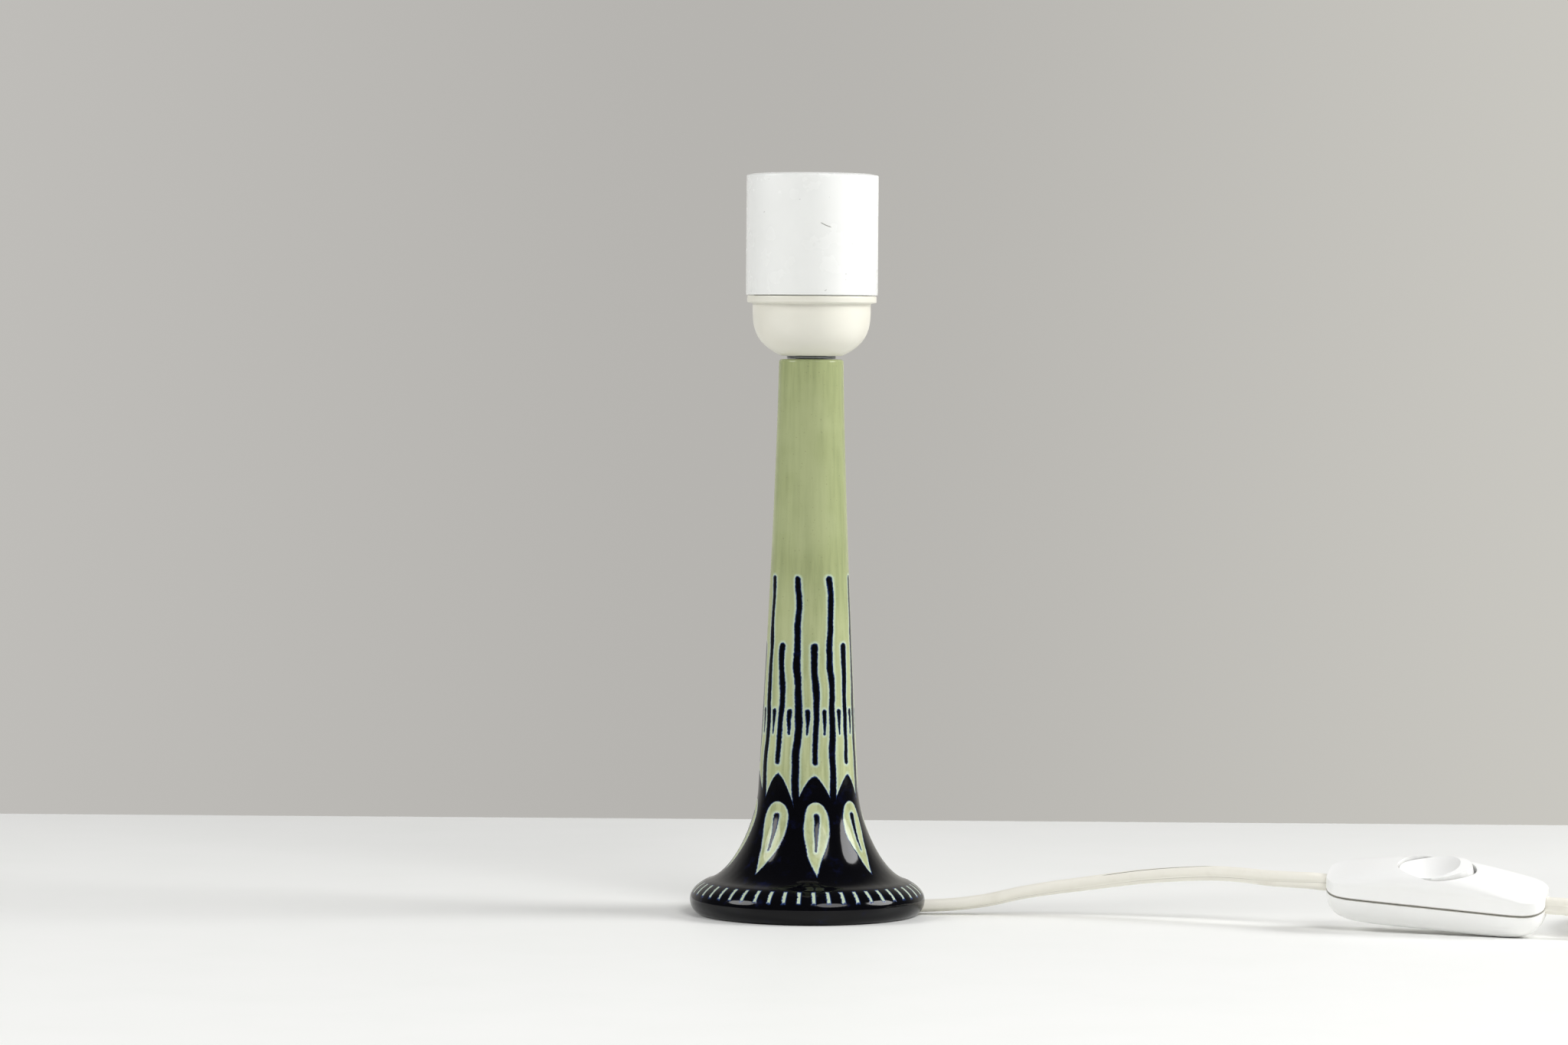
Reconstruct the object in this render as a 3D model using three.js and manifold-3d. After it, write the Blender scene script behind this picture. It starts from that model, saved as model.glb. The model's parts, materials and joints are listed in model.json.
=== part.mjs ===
// Table lamp base: a glazed ceramic pot with a lampholder, a flat twin cord, an in-line switch and a plug.
// Millimetres, +Z up, origin at the centre of the foot on the table. The camera side is -Y.
import * as THREE from "three";
import { mergeVertices } from "three/addons/utils/BufferGeometryUtils.js";
import Module from "manifold-3d";

const wasm = await Module();
wasm.setup();

// Working values
const degree = Math.PI / 180;
const fullTurn = 2 * Math.PI;
const overrun = 1;
const seatGap = 0.15;
const turnedGap = 0.3;
const weldDistance = 1e-4;
const roundSteps = 32;
const smallSteps = 12;

// Ceramic pot
const bodyHeight = 177.2;
const bodyWall = 3.8;
const footRingInner = 30.4;
const footRingOuter = 34.2;
const rimRadius = 37.6;
const rimHeight = 4.7;
const flareStartRadius = 32.2;
const flareStartHeight = 10.8;
const stemFootRadius = 15.95;
const stemFootHeight = 40;
const neckRadius = 10.35;
const neckRounding = 1;
const neckFloor = 6;
const neckBore = 6.4;
const ledgeBore = 10.3;
const ledgeHeight = 41.5;
const hollowTop = 7.2;

// Tube that holds the pot and the lampholder together
const tubeRadius = 5;
const tubeBore = 3.95;
const tubeBelowNut = 2.5;
const tubeInHolder = 11;
const tubeClearance = 0.2;
const nutAcrossFlats = 14;
const nutHeight = 4;
const washerRadius = 11.6;
const washerThickness = 2;
const neckWasherRadius = 7.8;
const neckWasherThickness = 0.8;

// Lampholder: dome below, shell above
const holderHeight = 57.9;
const holderRadius = 21;
const collarRadius = 20.6;
const collarTop = 19;
const domeHeight = 13.8;
const domeWall = 1.8;
const spigotRadius = 18.5;
const spigotWall = 1.5;
const spigotHeight = 6.3;
const ledgeDepth = 1.4;
const seam = 0.2;
const shellBoreRadius = 14.2;
const shellBoreWall = 1.6;
const mouthRadius = 15;
const mouthDepth = 5;
const shellCrown = 0.55;
const bossRadius = 8.2;
const bossHeight = 9;

// Round lamp thread, rolled in sheet
const threadPitch = 3.629;
const threadMajor = 26.6;
const threadMinor = 24.4;
const threadSheet = 0.35;
const threadLength = 18.5;

// Insulating insert with its terminals
const insertRadius = 16.6;
const insertHeight = 8.2;
const terminalLength = 6.4;
const terminalWidth = 7.4;
const terminalHeight = 5.4;
const terminalPlace = 9.5;
const contactSheet = 0.4;
const contactWidth = 4;
const contactTravel = 12;

// Flat twin cord
const cordWidth = 5.4;
const cordThickness = 3.4;
const coreRadius = 1.1;
const notchWidth = 5.8;
const notchHeight = 5.8;

// In-line switch
const switchLength = 68.6;
const switchWidth = 21;
const switchDepth = 10.4;
const switchSide = 3.8;
const switchDraft = 1.2;
const switchCrown = 5.4;
const switchWall = 1.6;
const switchX = 196.1;
const switchY = -42.8;
const switchYaw = -17.5;
const switchPitch = 3.7;
const switchRoll = 21;
const switchCordHeight = -0.3;
const wellLength = 24.8;
const wellWidth = 16;
const wellWall = 1.2;
const rockerGap = 0.4;
const rockerRest = -6;
const rockerAxle = 1.2;
const rockerAxleHeight = 5;
const dishRadius = 28;

// Coil and plug
const coilRadius = 39.6;
const coilPitch = 3.9;
const coilLayer = 5.9;
const coilTurns = 7.32;
const coilTurnsIn = 3.75;
const coilX = 283.3;
const coilSteps = 24;
const plugLength = 36;
const plugWidth = 35.3;
const plugThickness = 13.7;
const plugGrip = 24;
const reliefLength = 22;
const pinLength = 19;
const pinRadius = 2;
const pinSpacing = 18.6;

const finishes = {
  glaze: { color: "#8f9579", roughness: 0.12, metalness: 0 },
  creamPlastic: { color: "#e4e1d6", roughness: 0.38, metalness: 0 },
  whitePlastic: { color: "#eeefea", roughness: 0.3, metalness: 0 },
  cord: { color: "#e9e6da", roughness: 0.45, metalness: 0 },
  zinc: { color: "#a9acae", roughness: 0.35, metalness: 1 },
  brass: { color: "#b9964e", roughness: 0.3, metalness: 1 },
  nickel: { color: "#c4c2bb", roughness: 0.25, metalness: 1 },
  insulator: { color: "#dcd8c8", roughness: 0.6, metalness: 0 },
  liveCore: { color: "#6b4526", roughness: 0.5, metalness: 0 },
  neutralCore: { color: "#2f62a8", roughness: 0.5, metalness: 0 },
};

const lamp = new THREE.Group();

// Solids and geometry

function solid(geometry) {
  const bare = geometry.index ? geometry.toNonIndexed() : geometry.clone();
  bare.deleteAttribute("normal");
  bare.deleteAttribute("uv");
  const merged = mergeVertices(bare, weldDistance);
  const vertProperties = merged.attributes.position.array;
  const triVerts = new Uint32Array(merged.index.array);
  return new wasm.Manifold(new wasm.Mesh({ numProp: 3, vertProperties, triVerts }));
}

function geometryOf(shape) {
  const mesh = shape.getMesh();
  const geometry = new THREE.BufferGeometry();
  geometry.setAttribute("position", new THREE.BufferAttribute(mesh.vertProperties, 3));
  geometry.setIndex(new THREE.BufferAttribute(mesh.triVerts, 1));
  return geometry;
}

function joinedAndCut(body, additions, cuts) {
  let shape = solid(body);
  for (const addition of additions) shape = shape.add(solid(addition));
  for (const cut of cuts) shape = shape.subtract(solid(cut));
  return geometryOf(shape);
}

function piece(name, geometry, finish, parent = lamp) {
  geometry.computeVertexNormals();
  const mesh = new THREE.Mesh(geometry, new THREE.MeshStandardMaterial(finishes[finish]));
  mesh.name = name;
  parent.add(mesh);
  return mesh;
}

// A profile in (radius, height), turned about the vertical axis
function turned(path, steps = roundSteps, divisions = 8) {
  const geometry = new THREE.LatheGeometry(path.getPoints(divisions), steps);
  return geometry.rotateX(90 * degree);
}

// A cubic curve whose handles are shares of the box between its ends
function curveTo(path, from, to, shares) {
  const [h1x, h1y, h2x, h2y] = shares;
  const width = to[0] - from[0];
  const height = to[1] - from[1];
  path.bezierCurveTo(
    from[0] + h1x * width,
    from[1] + h1y * height,
    from[0] + h2x * width,
    from[1] + h2y * height,
    to[0],
    to[1],
  );
}

function outline(points) {
  const path = new THREE.Path();
  path.moveTo(...points[0]);
  for (const point of points.slice(1)) path.lineTo(...point);
  path.lineTo(...points[0]);
  return path;
}

function ring(inner, outer, low, high, steps = 24) {
  const corners = [
    [inner, low],
    [outer, low],
    [outer, high],
    [inner, high],
  ];
  return turned(outline(corners), steps);
}

function block(x, y, z) {
  const geometry = new THREE.BoxGeometry(x[1] - x[0], y[1] - y[0], z[1] - z[0]);
  return geometry.translate((x[0] + x[1]) / 2, (y[0] + y[1]) / 2, (z[0] + z[1]) / 2);
}

// A round rod from one point to another
function rod(from, to, radius, steps = smallSteps, endRadius = radius) {
  const start = new THREE.Vector3(...from);
  const run = new THREE.Vector3(...to).sub(start);
  const geometry = new THREE.CylinderGeometry(endRadius, radius, run.length(), steps);
  geometry.translate(0, run.length() / 2, 0);
  const up = new THREE.Vector3(0, 1, 0);
  geometry.applyQuaternion(new THREE.Quaternion().setFromUnitVectors(up, run.normalize()));
  return geometry.translate(start.x, start.y, start.z);
}

// A closed skin over rings of points, each ring seen counter-clockwise from the far end
function loft(rings) {
  const steps = rings[0].length;
  const positions = rings.flat(2);
  const index = [];
  for (let r = 0; r + 1 < rings.length; r++) {
    for (let i = 0; i < steps; i++) {
      const here = r * steps + i;
      const next = r * steps + ((i + 1) % steps);
      index.push(here, next, next + steps, here, next + steps, here + steps);
    }
  }
  const last = (rings.length - 1) * steps;
  for (let i = 1; i + 1 < steps; i++) {
    index.push(0, i + 1, i);
    index.push(last, last + i, last + i + 1);
  }
  const geometry = new THREE.BufferGeometry();
  geometry.setAttribute("position", new THREE.Float32BufferAttribute(positions, 3));
  geometry.setIndex(index);
  return geometry;
}

// Flat twin cord section: two half rounds, the width turned by a roll
function cordSection(roll, sides = 10) {
  const shape = new THREE.Shape();
  const round = cordThickness / 2;
  const offset = (cordWidth - cordThickness) / 2;
  const points = [];
  for (let i = 0; i < sides; i++) {
    const angle = ((i + 1 / 2) / sides) * fullTurn;
    const x = Math.sign(Math.cos(angle)) * offset + round * Math.cos(angle);
    const y = round * Math.sin(angle);
    const turn = roll * degree;
    points.push(new THREE.Vector2(
      x * Math.cos(turn) - y * Math.sin(turn),
      x * Math.sin(turn) + y * Math.cos(turn),
    ));
  }
  shape.setFromPoints(points);
  return shape;
}

function roundSection(radius, sides = 8) {
  const points = [];
  for (let i = 0; i < sides; i++) {
    const angle = (i / sides) * fullTurn;
    points.push(new THREE.Vector2(radius * Math.cos(angle), radius * Math.sin(angle)));
  }
  return new THREE.Shape(points);
}

function tube(section, points, steps) {
  const path = new THREE.CatmullRomCurve3(points.map((p) => new THREE.Vector3(...p)));
  return new THREE.ExtrudeGeometry(section, { steps, extrudePath: path, bevelEnabled: false });
}

// Ceramic pot

const neckTop = bodyHeight;
const neckFlat = neckRadius - neckRounding;
const boreFloor = neckTop - neckFloor;
const ledgeReach = stemFootRadius - bodyWall;
const tubeHole = tubeRadius + tubeClearance + seatGap;

function flareInside(steps) {
  const shares = [0.55, 0.072, 0.972, 0.686];
  const flare = new THREE.Path();
  flare.moveTo(flareStartRadius, flareStartHeight);
  const from = [flareStartRadius, flareStartHeight];
  curveTo(flare, from, [stemFootRadius, stemFootHeight], shares);
  const points = [];
  for (let i = steps; i >= 0; i--) {
    const point = flare.getPoint(i / steps);
    const tangent = flare.getTangent(i / steps);
    point.x -= bodyWall * tangent.y;
    point.y += bodyWall * tangent.x;
    if (point.x < footRingInner && point.y > hollowTop) points.push([point.x, point.y]);
  }
  return points;
}

function ceramicBody() {
  const path = new THREE.Path();
  const footOut = [footRingOuter, 0];
  const rim = [rimRadius, rimHeight];
  const flareStart = [flareStartRadius, flareStartHeight];
  const stemFoot = [stemFootRadius, stemFootHeight];
  const neck = [neckRadius, neckTop - neckRounding];
  path.moveTo(footRingInner, 0);
  path.lineTo(...footOut);
  curveTo(path, footOut, rim, [0.5, 0, 1, 0.51]);
  curveTo(path, rim, flareStart, [0, 0.491, 0.61, 0.845]);
  curveTo(path, flareStart, stemFoot, [0.55, 0.072, 0.972, 0.686]);
  curveTo(path, stemFoot, neck, [0.266, 0.218, 0.856, 0.659]);
  curveTo(path, neck, [neckFlat, neckTop], [0, 0.55, 0.45, 1]);
  path.lineTo(tubeHole, neckTop);
  path.lineTo(tubeHole, boreFloor);
  path.lineTo(neckBore, boreFloor);
  path.lineTo(ledgeBore, ledgeHeight);
  path.lineTo(ledgeReach, ledgeHeight);
  for (const point of flareInside(5)) path.lineTo(...point);
  path.lineTo(footRingInner, hollowTop);
  path.lineTo(footRingInner, 0);
  return joinedAndCut(turned(path, roundSteps, 4), [], [cordNotch()]);
}

// The mouse hole for the cord in the foot, towards +X
function cordNotch() {
  const half = notchWidth / 2;
  const shape = new THREE.Shape();
  shape.moveTo(-half, -overrun);
  shape.lineTo(half, -overrun);
  shape.lineTo(half, notchHeight - half);
  shape.absarc(0, notchHeight - half, half, 0, Math.PI);
  shape.lineTo(-half, -overrun);
  const inside = footRingInner - bodyWall;
  const depth = rimRadius - inside + overrun;
  const geometry = new THREE.ExtrudeGeometry(shape, { depth, bevelEnabled: false, curveSegments: 4 });
  return alongX(geometry).translate(inside, 0, 0);
}

// Turns a shape drawn in (x, y) with its depth along z into (y, z) with its depth along +X
function alongX(geometry) {
  const basis = new THREE.Matrix4().makeBasis(
    new THREE.Vector3(0, 1, 0),
    new THREE.Vector3(0, 0, 1),
    new THREE.Vector3(1, 0, 0),
  );
  return geometry.applyMatrix4(basis);
}

piece("ceramic_body", ceramicBody(), "glaze");

// Tube, nut and washers

const washerTop = ledgeHeight - seatGap;
const nutTop = washerTop - washerThickness - seatGap;
const tubeLow = nutTop - nutHeight - tubeBelowNut;
const domeBottom = neckTop + neckWasherThickness + 2 * seatGap;
const tubeHigh = domeBottom + tubeInHolder;

function lockNut() {
  const corner = nutAcrossFlats / Math.sqrt(3);
  const chamfer = nutHeight / 8;
  const low = nutTop - nutHeight;
  const path = new THREE.Path();
  path.moveTo(0, low);
  path.lineTo(corner - 2 * chamfer, low);
  path.lineTo(corner, low + chamfer);
  path.lineTo(corner, nutTop);
  path.lineTo(0, nutTop);
  const bore = rod([0, 0, low - overrun], [0, 0, nutTop + overrun], tubeRadius + tubeClearance);
  return joinedAndCut(turned(path, 6, 1), [], [bore]);
}

function washers() {
  const hole = tubeRadius + tubeClearance;
  piece("lower_washer", ring(hole, washerRadius, washerTop - washerThickness, washerTop), "zinc");
  const low = neckTop + seatGap;
  piece("neck_washer", ring(hole, neckWasherRadius, low, low + neckWasherThickness), "zinc");
}

function threadedTube() {
  const chamfer = (tubeRadius - tubeBore) / 2;
  const corners = [
    [tubeBore, tubeLow],
    [tubeRadius - chamfer, tubeLow],
    [tubeRadius, tubeLow + chamfer],
    [tubeRadius, tubeHigh - chamfer],
    [tubeRadius - chamfer, tubeHigh],
    [tubeBore, tubeHigh],
  ];
  return turned(outline(corners), smallSteps + smallSteps / 2);
}

piece("threaded_tube", threadedTube(), "zinc");
piece("lock_nut", lockNut(), "zinc");
washers();

// Lampholder dome

const domeTop = domeBottom + domeHeight;
const collarBottom = domeBottom + collarTop - 2.2;
const collarHigh = domeBottom + collarTop;
const spigotTop = collarHigh + spigotHeight;
const spigotInner = spigotRadius - spigotWall;
const insertSeat = collarHigh + 1.2;
const grubHeight = domeBottom + 0.75 * bossHeight;

function holderDome() {
  const flat = 9.8;
  const bowlTop = 18.8;
  const edge = 0.3;
  const bowlShares = [0.834, 0.25, 0.989, 0.564];
  const innerShares = [0.011, 0.436, 0.166, 0.75];
  const hole = tubeRadius + tubeClearance;
  const floor = domeBottom + domeWall;
  const innerTop = bowlTop - domeWall;
  const ledgeInner = spigotInner - ledgeDepth;
  const path = new THREE.Path();
  path.moveTo(hole, domeBottom);
  path.lineTo(flat, domeBottom);
  curveTo(path, [flat, domeBottom], [bowlTop, domeTop], bowlShares);
  path.lineTo(bowlTop, collarBottom - 2 * edge);
  path.lineTo(collarRadius - edge, collarBottom);
  path.lineTo(collarRadius, collarBottom + edge);
  path.lineTo(collarRadius, collarHigh - edge);
  path.lineTo(collarRadius - edge, collarHigh);
  path.lineTo(spigotRadius, collarHigh);
  path.lineTo(spigotRadius, spigotTop);
  path.lineTo(spigotInner, spigotTop);
  path.lineTo(spigotInner, insertSeat);
  path.lineTo(ledgeInner, insertSeat);
  path.lineTo(ledgeInner, insertSeat - ledgeDepth);
  path.lineTo(innerTop, insertSeat - 2 * ledgeDepth);
  path.lineTo(innerTop, domeTop);
  curveTo(path, [innerTop, domeTop], [flat, floor], innerShares);
  path.lineTo(bossRadius, floor);
  path.lineTo(bossRadius, domeBottom + bossHeight);
  path.lineTo(hole, domeBottom + bossHeight);
  path.lineTo(hole, domeBottom);
  const screwHole = grubScrew(tubeClearance, overrun);
  return joinedAndCut(turned(path, roundSteps, 4), [], [screwHole]);
}

// Grub screw in the boss, towards +Y; a clearance makes it the hole
function grubScrew(clearance, beyond) {
  const radius = 1.5;
  const start = tubeRadius + seatGap - (clearance ? overrun : 0);
  return rod([0, start, grubHeight], [0, bossRadius + beyond, grubHeight], radius + clearance);
}

piece("holder_dome", holderDome(), "creamPlastic");
piece("tube_grub_screw", grubScrew(0, seatGap), "zinc");

// Lampholder shell

const shellBottom = collarHigh + seam;
const crownTop = domeBottom + holderHeight;
const shellTop = crownTop - shellCrown;
const mouthFloor = crownTop - mouthDepth;
const insertLow = insertSeat + seatGap;
const insertTop = insertLow + insertHeight;
const boreBottom = insertTop + seatGap;
const skirtRadius = shellBoreRadius + shellBoreWall;

function holderShell() {
  const chamfer = 0.25;
  const rounding = 0.4;
  const lead = 0.6;
  const wallInner = spigotRadius + 0.5;
  const roof = mouthFloor + 2.3;
  const crownFlat = 17.3;
  const path = new THREE.Path();
  path.moveTo(wallInner, shellBottom);
  path.lineTo(holderRadius - chamfer, shellBottom);
  path.lineTo(holderRadius, shellBottom + chamfer);
  path.lineTo(holderRadius, shellTop - rounding);
  const corner = [holderRadius, shellTop - rounding];
  curveTo(path, corner, [holderRadius - rounding, shellTop], [0, 0.55, 0.45, 1]);
  curveTo(path, [holderRadius - rounding, shellTop], [crownFlat, crownTop], [0.3, 0.55, 0.7, 1]);
  path.lineTo(mouthRadius + lead, crownTop);
  path.lineTo(mouthRadius, crownTop - lead);
  path.lineTo(mouthRadius, mouthFloor);
  path.lineTo(shellBoreRadius, mouthFloor);
  path.lineTo(shellBoreRadius, boreBottom);
  path.lineTo(skirtRadius, boreBottom);
  path.lineTo(skirtRadius, roof);
  path.lineTo(wallInner, roof);
  path.lineTo(wallInner, shellBottom);
  return turned(path, roundSteps, 4);
}

piece("holder_shell", holderShell(), "whitePlastic");

// Screw shell: one sheet whose wall follows the rolled thread, with a flange above and a lip below
function screwShell() {
  const steps = 24;
  const rowsPerTurn = 3.8;
  const top = mouthFloor + seatGap;
  const threadTop = top - 2 * contactSheet;
  const threadLow = threadTop - threadLength;
  const bottom = insertTop + seatGap;
  const middle = (threadMajor + threadMinor) / 4;
  const depth = (threadMajor - threadMinor) / 4;
  const rows = Math.round((threadLength / threadPitch) * rowsPerTurn);
  const lipRadius = threadMinor / 2 - threadSheet;
  const flangeRadius = mouthRadius - seatGap;
  const wall = (height, angle) => {
    const share = (height - threadLow) / threadLength;
    const fade = Math.min(1, 6 * share, 6 * (1 - share));
    return middle + depth * fade * Math.sin((height / threadPitch) * fullTurn - angle);
  };
  const rings = [];
  const addRing = (radiusAt, height) => {
    const points = [];
    for (let i = 0; i < steps; i++) {
      const angle = (i / steps) * fullTurn;
      const radius = radiusAt(angle);
      points.push([radius * Math.cos(angle), radius * Math.sin(angle), height]);
    }
    rings.push(points);
  };
  addRing(() => lipRadius, bottom);
  addRing(() => middle + threadSheet, bottom);
  for (let r = 0; r <= rows; r++) {
    const height = threadLow + (r / rows) * threadLength;
    addRing((angle) => wall(height, angle) + threadSheet, height);
  }
  addRing(() => middle + threadSheet, top);
  addRing(() => flangeRadius, top);
  addRing(() => flangeRadius, top + threadSheet);
  addRing(() => middle, top + threadSheet);
  for (let r = rows; r >= 0; r--) {
    const height = threadLow + (r / rows) * threadLength;
    addRing((angle) => wall(height, angle), height);
  }
  addRing(() => middle, bottom + threadSheet);
  addRing(() => lipRadius, bottom + threadSheet);
  return ringSkin(rings);
}

// A skin over rings that return to the first one, without caps
function ringSkin(rings) {
  const steps = rings[0].length;
  const count = rings.length;
  const index = [];
  for (let r = 0; r < count; r++) {
    for (let i = 0; i < steps; i++) {
      const a = r * steps + i;
      const b = r * steps + ((i + 1) % steps);
      const c = ((r + 1) % count) * steps + ((i + 1) % steps);
      const d = ((r + 1) % count) * steps + i;
      index.push(a, b, c, a, c, d);
    }
  }
  const geometry = new THREE.BufferGeometry();
  geometry.setAttribute("position", new THREE.Float32BufferAttribute(rings.flat(2), 3));
  geometry.setIndex(index);
  return geometry;
}

piece("screw_shell", screwShell(), "nickel");

// Insulating insert, terminals and contacts

const postPlace = terminalPlace - 1.5;
const postRadius = 1.1;
const pocketTop = insertLow + terminalHeight + 2 * seatGap;
const slotDepth = 0.9;
const slotFloor = insertTop - slotDepth;
const sheetLow = slotFloor + seatGap;
const terminalScrewHeight = insertLow + terminalHeight / 2;
const headRadius = 1.9;
const wireHole = 0.9;
const leafRoot = 4.7;
const fingerPlace = (threadMajor + threadMinor) / 4 + threadSheet + seatGap;

function contactBlock() {
  const body = ring(2, insertRadius, insertLow, insertTop, roundSteps);
  const cuts = [];
  for (const side of [-1, 1]) {
    const pocketIn = terminalPlace - terminalLength / 2 - seatGap;
    const pocketOut = terminalPlace + terminalLength / 2 + seatGap;
    const half = terminalWidth / 2 + seatGap;
    const x = [side * pocketIn, side * pocketOut].sort((a, b) => a - b);
    cuts.push(block(x, [-half, half], [insertLow - overrun, pocketTop]));
    const reach = [side * (insertRadius + overrun), 0, terminalScrewHeight];
    cuts.push(rod([side * terminalPlace, 0, terminalScrewHeight], reach, headRadius + seatGap));
    const post = [side * postPlace, 0, insertLow];
    cuts.push(rod(post, [side * postPlace, 0, insertTop + overrun], postRadius + seatGap));
  }
  const slotHalf = contactWidth / 2 + turnedGap;
  const slot = [slotFloor, insertTop + overrun];
  cuts.push(block([-postPlace - 2.4, 0], [-slotHalf, slotHalf], slot));
  cuts.push(block([postPlace - 2.4, fingerPlace + 2 * contactSheet], [-slotHalf, slotHalf], slot));
  return joinedAndCut(body, [], cuts);
}

// Brass block with its wire hole and screw hole, and the post that is riveted over the contact strip
function terminal(side) {
  const x0 = side * terminalPlace - terminalLength / 2;
  const low = insertLow + seatGap;
  const body = block(
    [x0, x0 + terminalLength],
    [-terminalWidth / 2, terminalWidth / 2],
    [low, low + terminalHeight],
  );
  const postTop = sheetLow + contactSheet + seatGap;
  const post = rod([side * postPlace, 0, low + terminalHeight / 2], [side * postPlace, 0, postTop], postRadius);
  const head = rod([side * postPlace, 0, postTop], [side * postPlace, 0, postTop + 0.4], postRadius * 1.6);
  head.translate(0, 0, -weldDistance * overrun);
  const wireX = side * (terminalPlace + 1);
  const hole = rod([wireX, 0, low - overrun], [wireX, 0, low + 0.7 * terminalHeight], wireHole);
  const screwStart = [wireX, 0, terminalScrewHeight];
  const screwEnd = [side * (insertRadius + overrun), 0, terminalScrewHeight];
  return joinedAndCut(body, [post, head], [hole, rod(screwStart, screwEnd, wireHole + seatGap)]);
}

function terminalScrew(side) {
  const headStart = side * (terminalPlace + terminalLength / 2 + seatGap);
  const headEnd = headStart + side * 1.6;
  const tip = side * (terminalPlace + 1 + 0.6 * wireHole + seatGap);
  const shank = rod([tip, 0, terminalScrewHeight], [headStart, 0, terminalScrewHeight], wireHole);
  const head = rod([headStart, 0, terminalScrewHeight], [headEnd, 0, terminalScrewHeight], headRadius);
  const half = headRadius / 6;
  const slotX = [headEnd - side * 0.7, headEnd + side * overrun].sort((a, b) => a - b);
  const y = [-headRadius - overrun, headRadius + overrun];
  const slot = block(slotX, y, [terminalScrewHeight - half, terminalScrewHeight + half]);
  shank.translate(side * weldDistance, 0, 0);
  return joinedAndCut(head, [shank], [slot]);
}

// Strips in the insert's top: the root of the centre contact, its sprung leaf, and the side contact
function contactStrips() {
  const half = contactWidth / 2;
  const y = [-half, half];
  const z = [sheetLow, sheetLow + contactSheet];
  const hole = (x) => rod([x, 0, sheetLow - overrun], [x, 0, z[1] + overrun], postRadius + seatGap);
  const root = block([-postPlace - 2, -leafRoot - seatGap / 2], y, z);
  piece("centre_contact_root", joinedAndCut(root, [], [hole(-postPlace)]), "brass");
  const plate = block([postPlace - 2, fingerPlace + contactSheet], y, z);
  const finger = block([fingerPlace, fingerPlace + contactSheet], y, [sheetLow, insertTop + 1.8]);
  piece("side_contact", joinedAndCut(plate, [finger], [hole(postPlace)]), "brass");
}

function centreContact() {
  const leafLength = 5.8;
  const leafRise = 25;
  const domeRadius = 1.5;
  const shape = new THREE.Shape();
  const half = contactWidth / 2;
  shape.moveTo(0, -half);
  shape.lineTo(leafLength - half, -half);
  shape.absarc(leafLength - half, 0, half, -90 * degree, 90 * degree);
  shape.lineTo(0, half);
  shape.lineTo(0, -half);
  const strip = new THREE.ExtrudeGeometry(shape, { depth: contactSheet, bevelEnabled: false, curveSegments: 6 });
  const button = rod(
    [leafLength - half, 0, contactSheet / 2],
    [leafLength - half, 0, 2 * contactSheet],
    domeRadius,
    smallSteps,
    domeRadius / 2,
  );
  const leaf = joinedAndCut(strip, [button], []);
  leaf.rotateY(-leafRise * degree);
  return leaf.translate(-leafRoot + seatGap, 0, sheetLow);
}

piece("contact_block", contactBlock(), "insulator");
piece("live_terminal", terminal(-1), "brass");
piece("neutral_terminal", terminal(1), "brass");
piece("terminal_screw_live", terminalScrew(-1), "zinc");
piece("terminal_screw_neutral", terminalScrew(1), "zinc");
contactStrips();
piece("centre_contact", centreContact(), "brass");

// Cord held inside the lamp: from the notch up through the tube, then its two cores

const cordStart = footRingOuter - 1;
const cordFloor = cordWidth / 2 + turnedGap / 3;
const innerEnd = tubeHigh + 1.7;

function innerCord() {
  const bend = 22;
  const points = [
    [cordStart - turnedGap, 0, cordFloor],
    [cordStart - cordWidth, 0, cordFloor],
  ];
  for (let i = 0; i <= 6; i++) {
    const angle = (i / 6) * 90 * degree;
    points.push([bend * (1 - Math.sin(angle)), 0, cordFloor + bend * (1 - Math.cos(angle))]);
  }
  for (let i = 1; i <= 6; i++) {
    const rise = cordFloor + bend;
    points.push([0, 0, rise + (i / 6) * (innerEnd - rise)]);
  }
  return tube(cordSection(0), points, 24);
}

function coreWire(side) {
  const start = innerEnd + turnedGap;
  const end = insertLow + seatGap - turnedGap;
  const x = side * (terminalPlace + 1);
  const middle = (start + end) / 2;
  const points = [
    [side * coreRadius, 0, start],
    [side * coreRadius, 0, start + coreRadius],
    [side * (coreRadius + 0.8), 0, middle - coreRadius],
    [x / 2 + side, 0, middle],
    [x - side, 0, middle + coreRadius],
    [x, 0, end - coreRadius],
    [x, 0, end],
  ];
  const insulation = tube(roundSection(coreRadius), points, 12);
  const bare = rod([x, 0, end - coreRadius], [x, 0, end + 0.5 * terminalHeight], 0.6 * wireHole, 8);
  return joinedAndCut(insulation, [bare], []);
}

piece("inner_cord", innerCord(), "cord");
piece("live_wire", coreWire(-1), "liveCore");
piece("neutral_wire", coreWire(1), "neutralCore");

// In-line switch, in a frame of its own: x along the cord, z = 0 at the seam

const switchGroup = new THREE.Group();
const switchTurn = new THREE.Euler(switchRoll * degree, switchPitch * degree, switchYaw * degree, "ZYX");
const halfLength = switchLength / 2;
const halfWidth = switchWidth / 2;
const entryWidth = cordThickness + 2 * turnedGap;
const entryHeight = cordWidth + 2 * turnedGap;

function switchRing(length, width, height, steps = 28) {
  const points = [];
  for (let i = 0; i < steps; i++) {
    const angle = (i / steps) * fullTurn;
    points.push([length * Math.cos(angle), width * Math.sin(angle), height]);
  }
  return points;
}

// The shells are drawn through cross sections: straight sides, short round corners and flat ends
const endShare = 0.985;
const sectionShares = [0, 0.22, 0.42, 0.6, 0.75, 0.86, 0.93, 0.97, 1];
const innerSectionShares = [0, 0.45, 0.75, 0.92, 1];
const planShare = (share) => (1 - (endShare * share) ** 12) ** 0.5;
const crownShare = (share) => (1 - (endShare * share) ** 2) ** 1.4;
const bowlShare = (share) => (1 - Math.abs(endShare * share) ** 7) ** 0.45;

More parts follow.
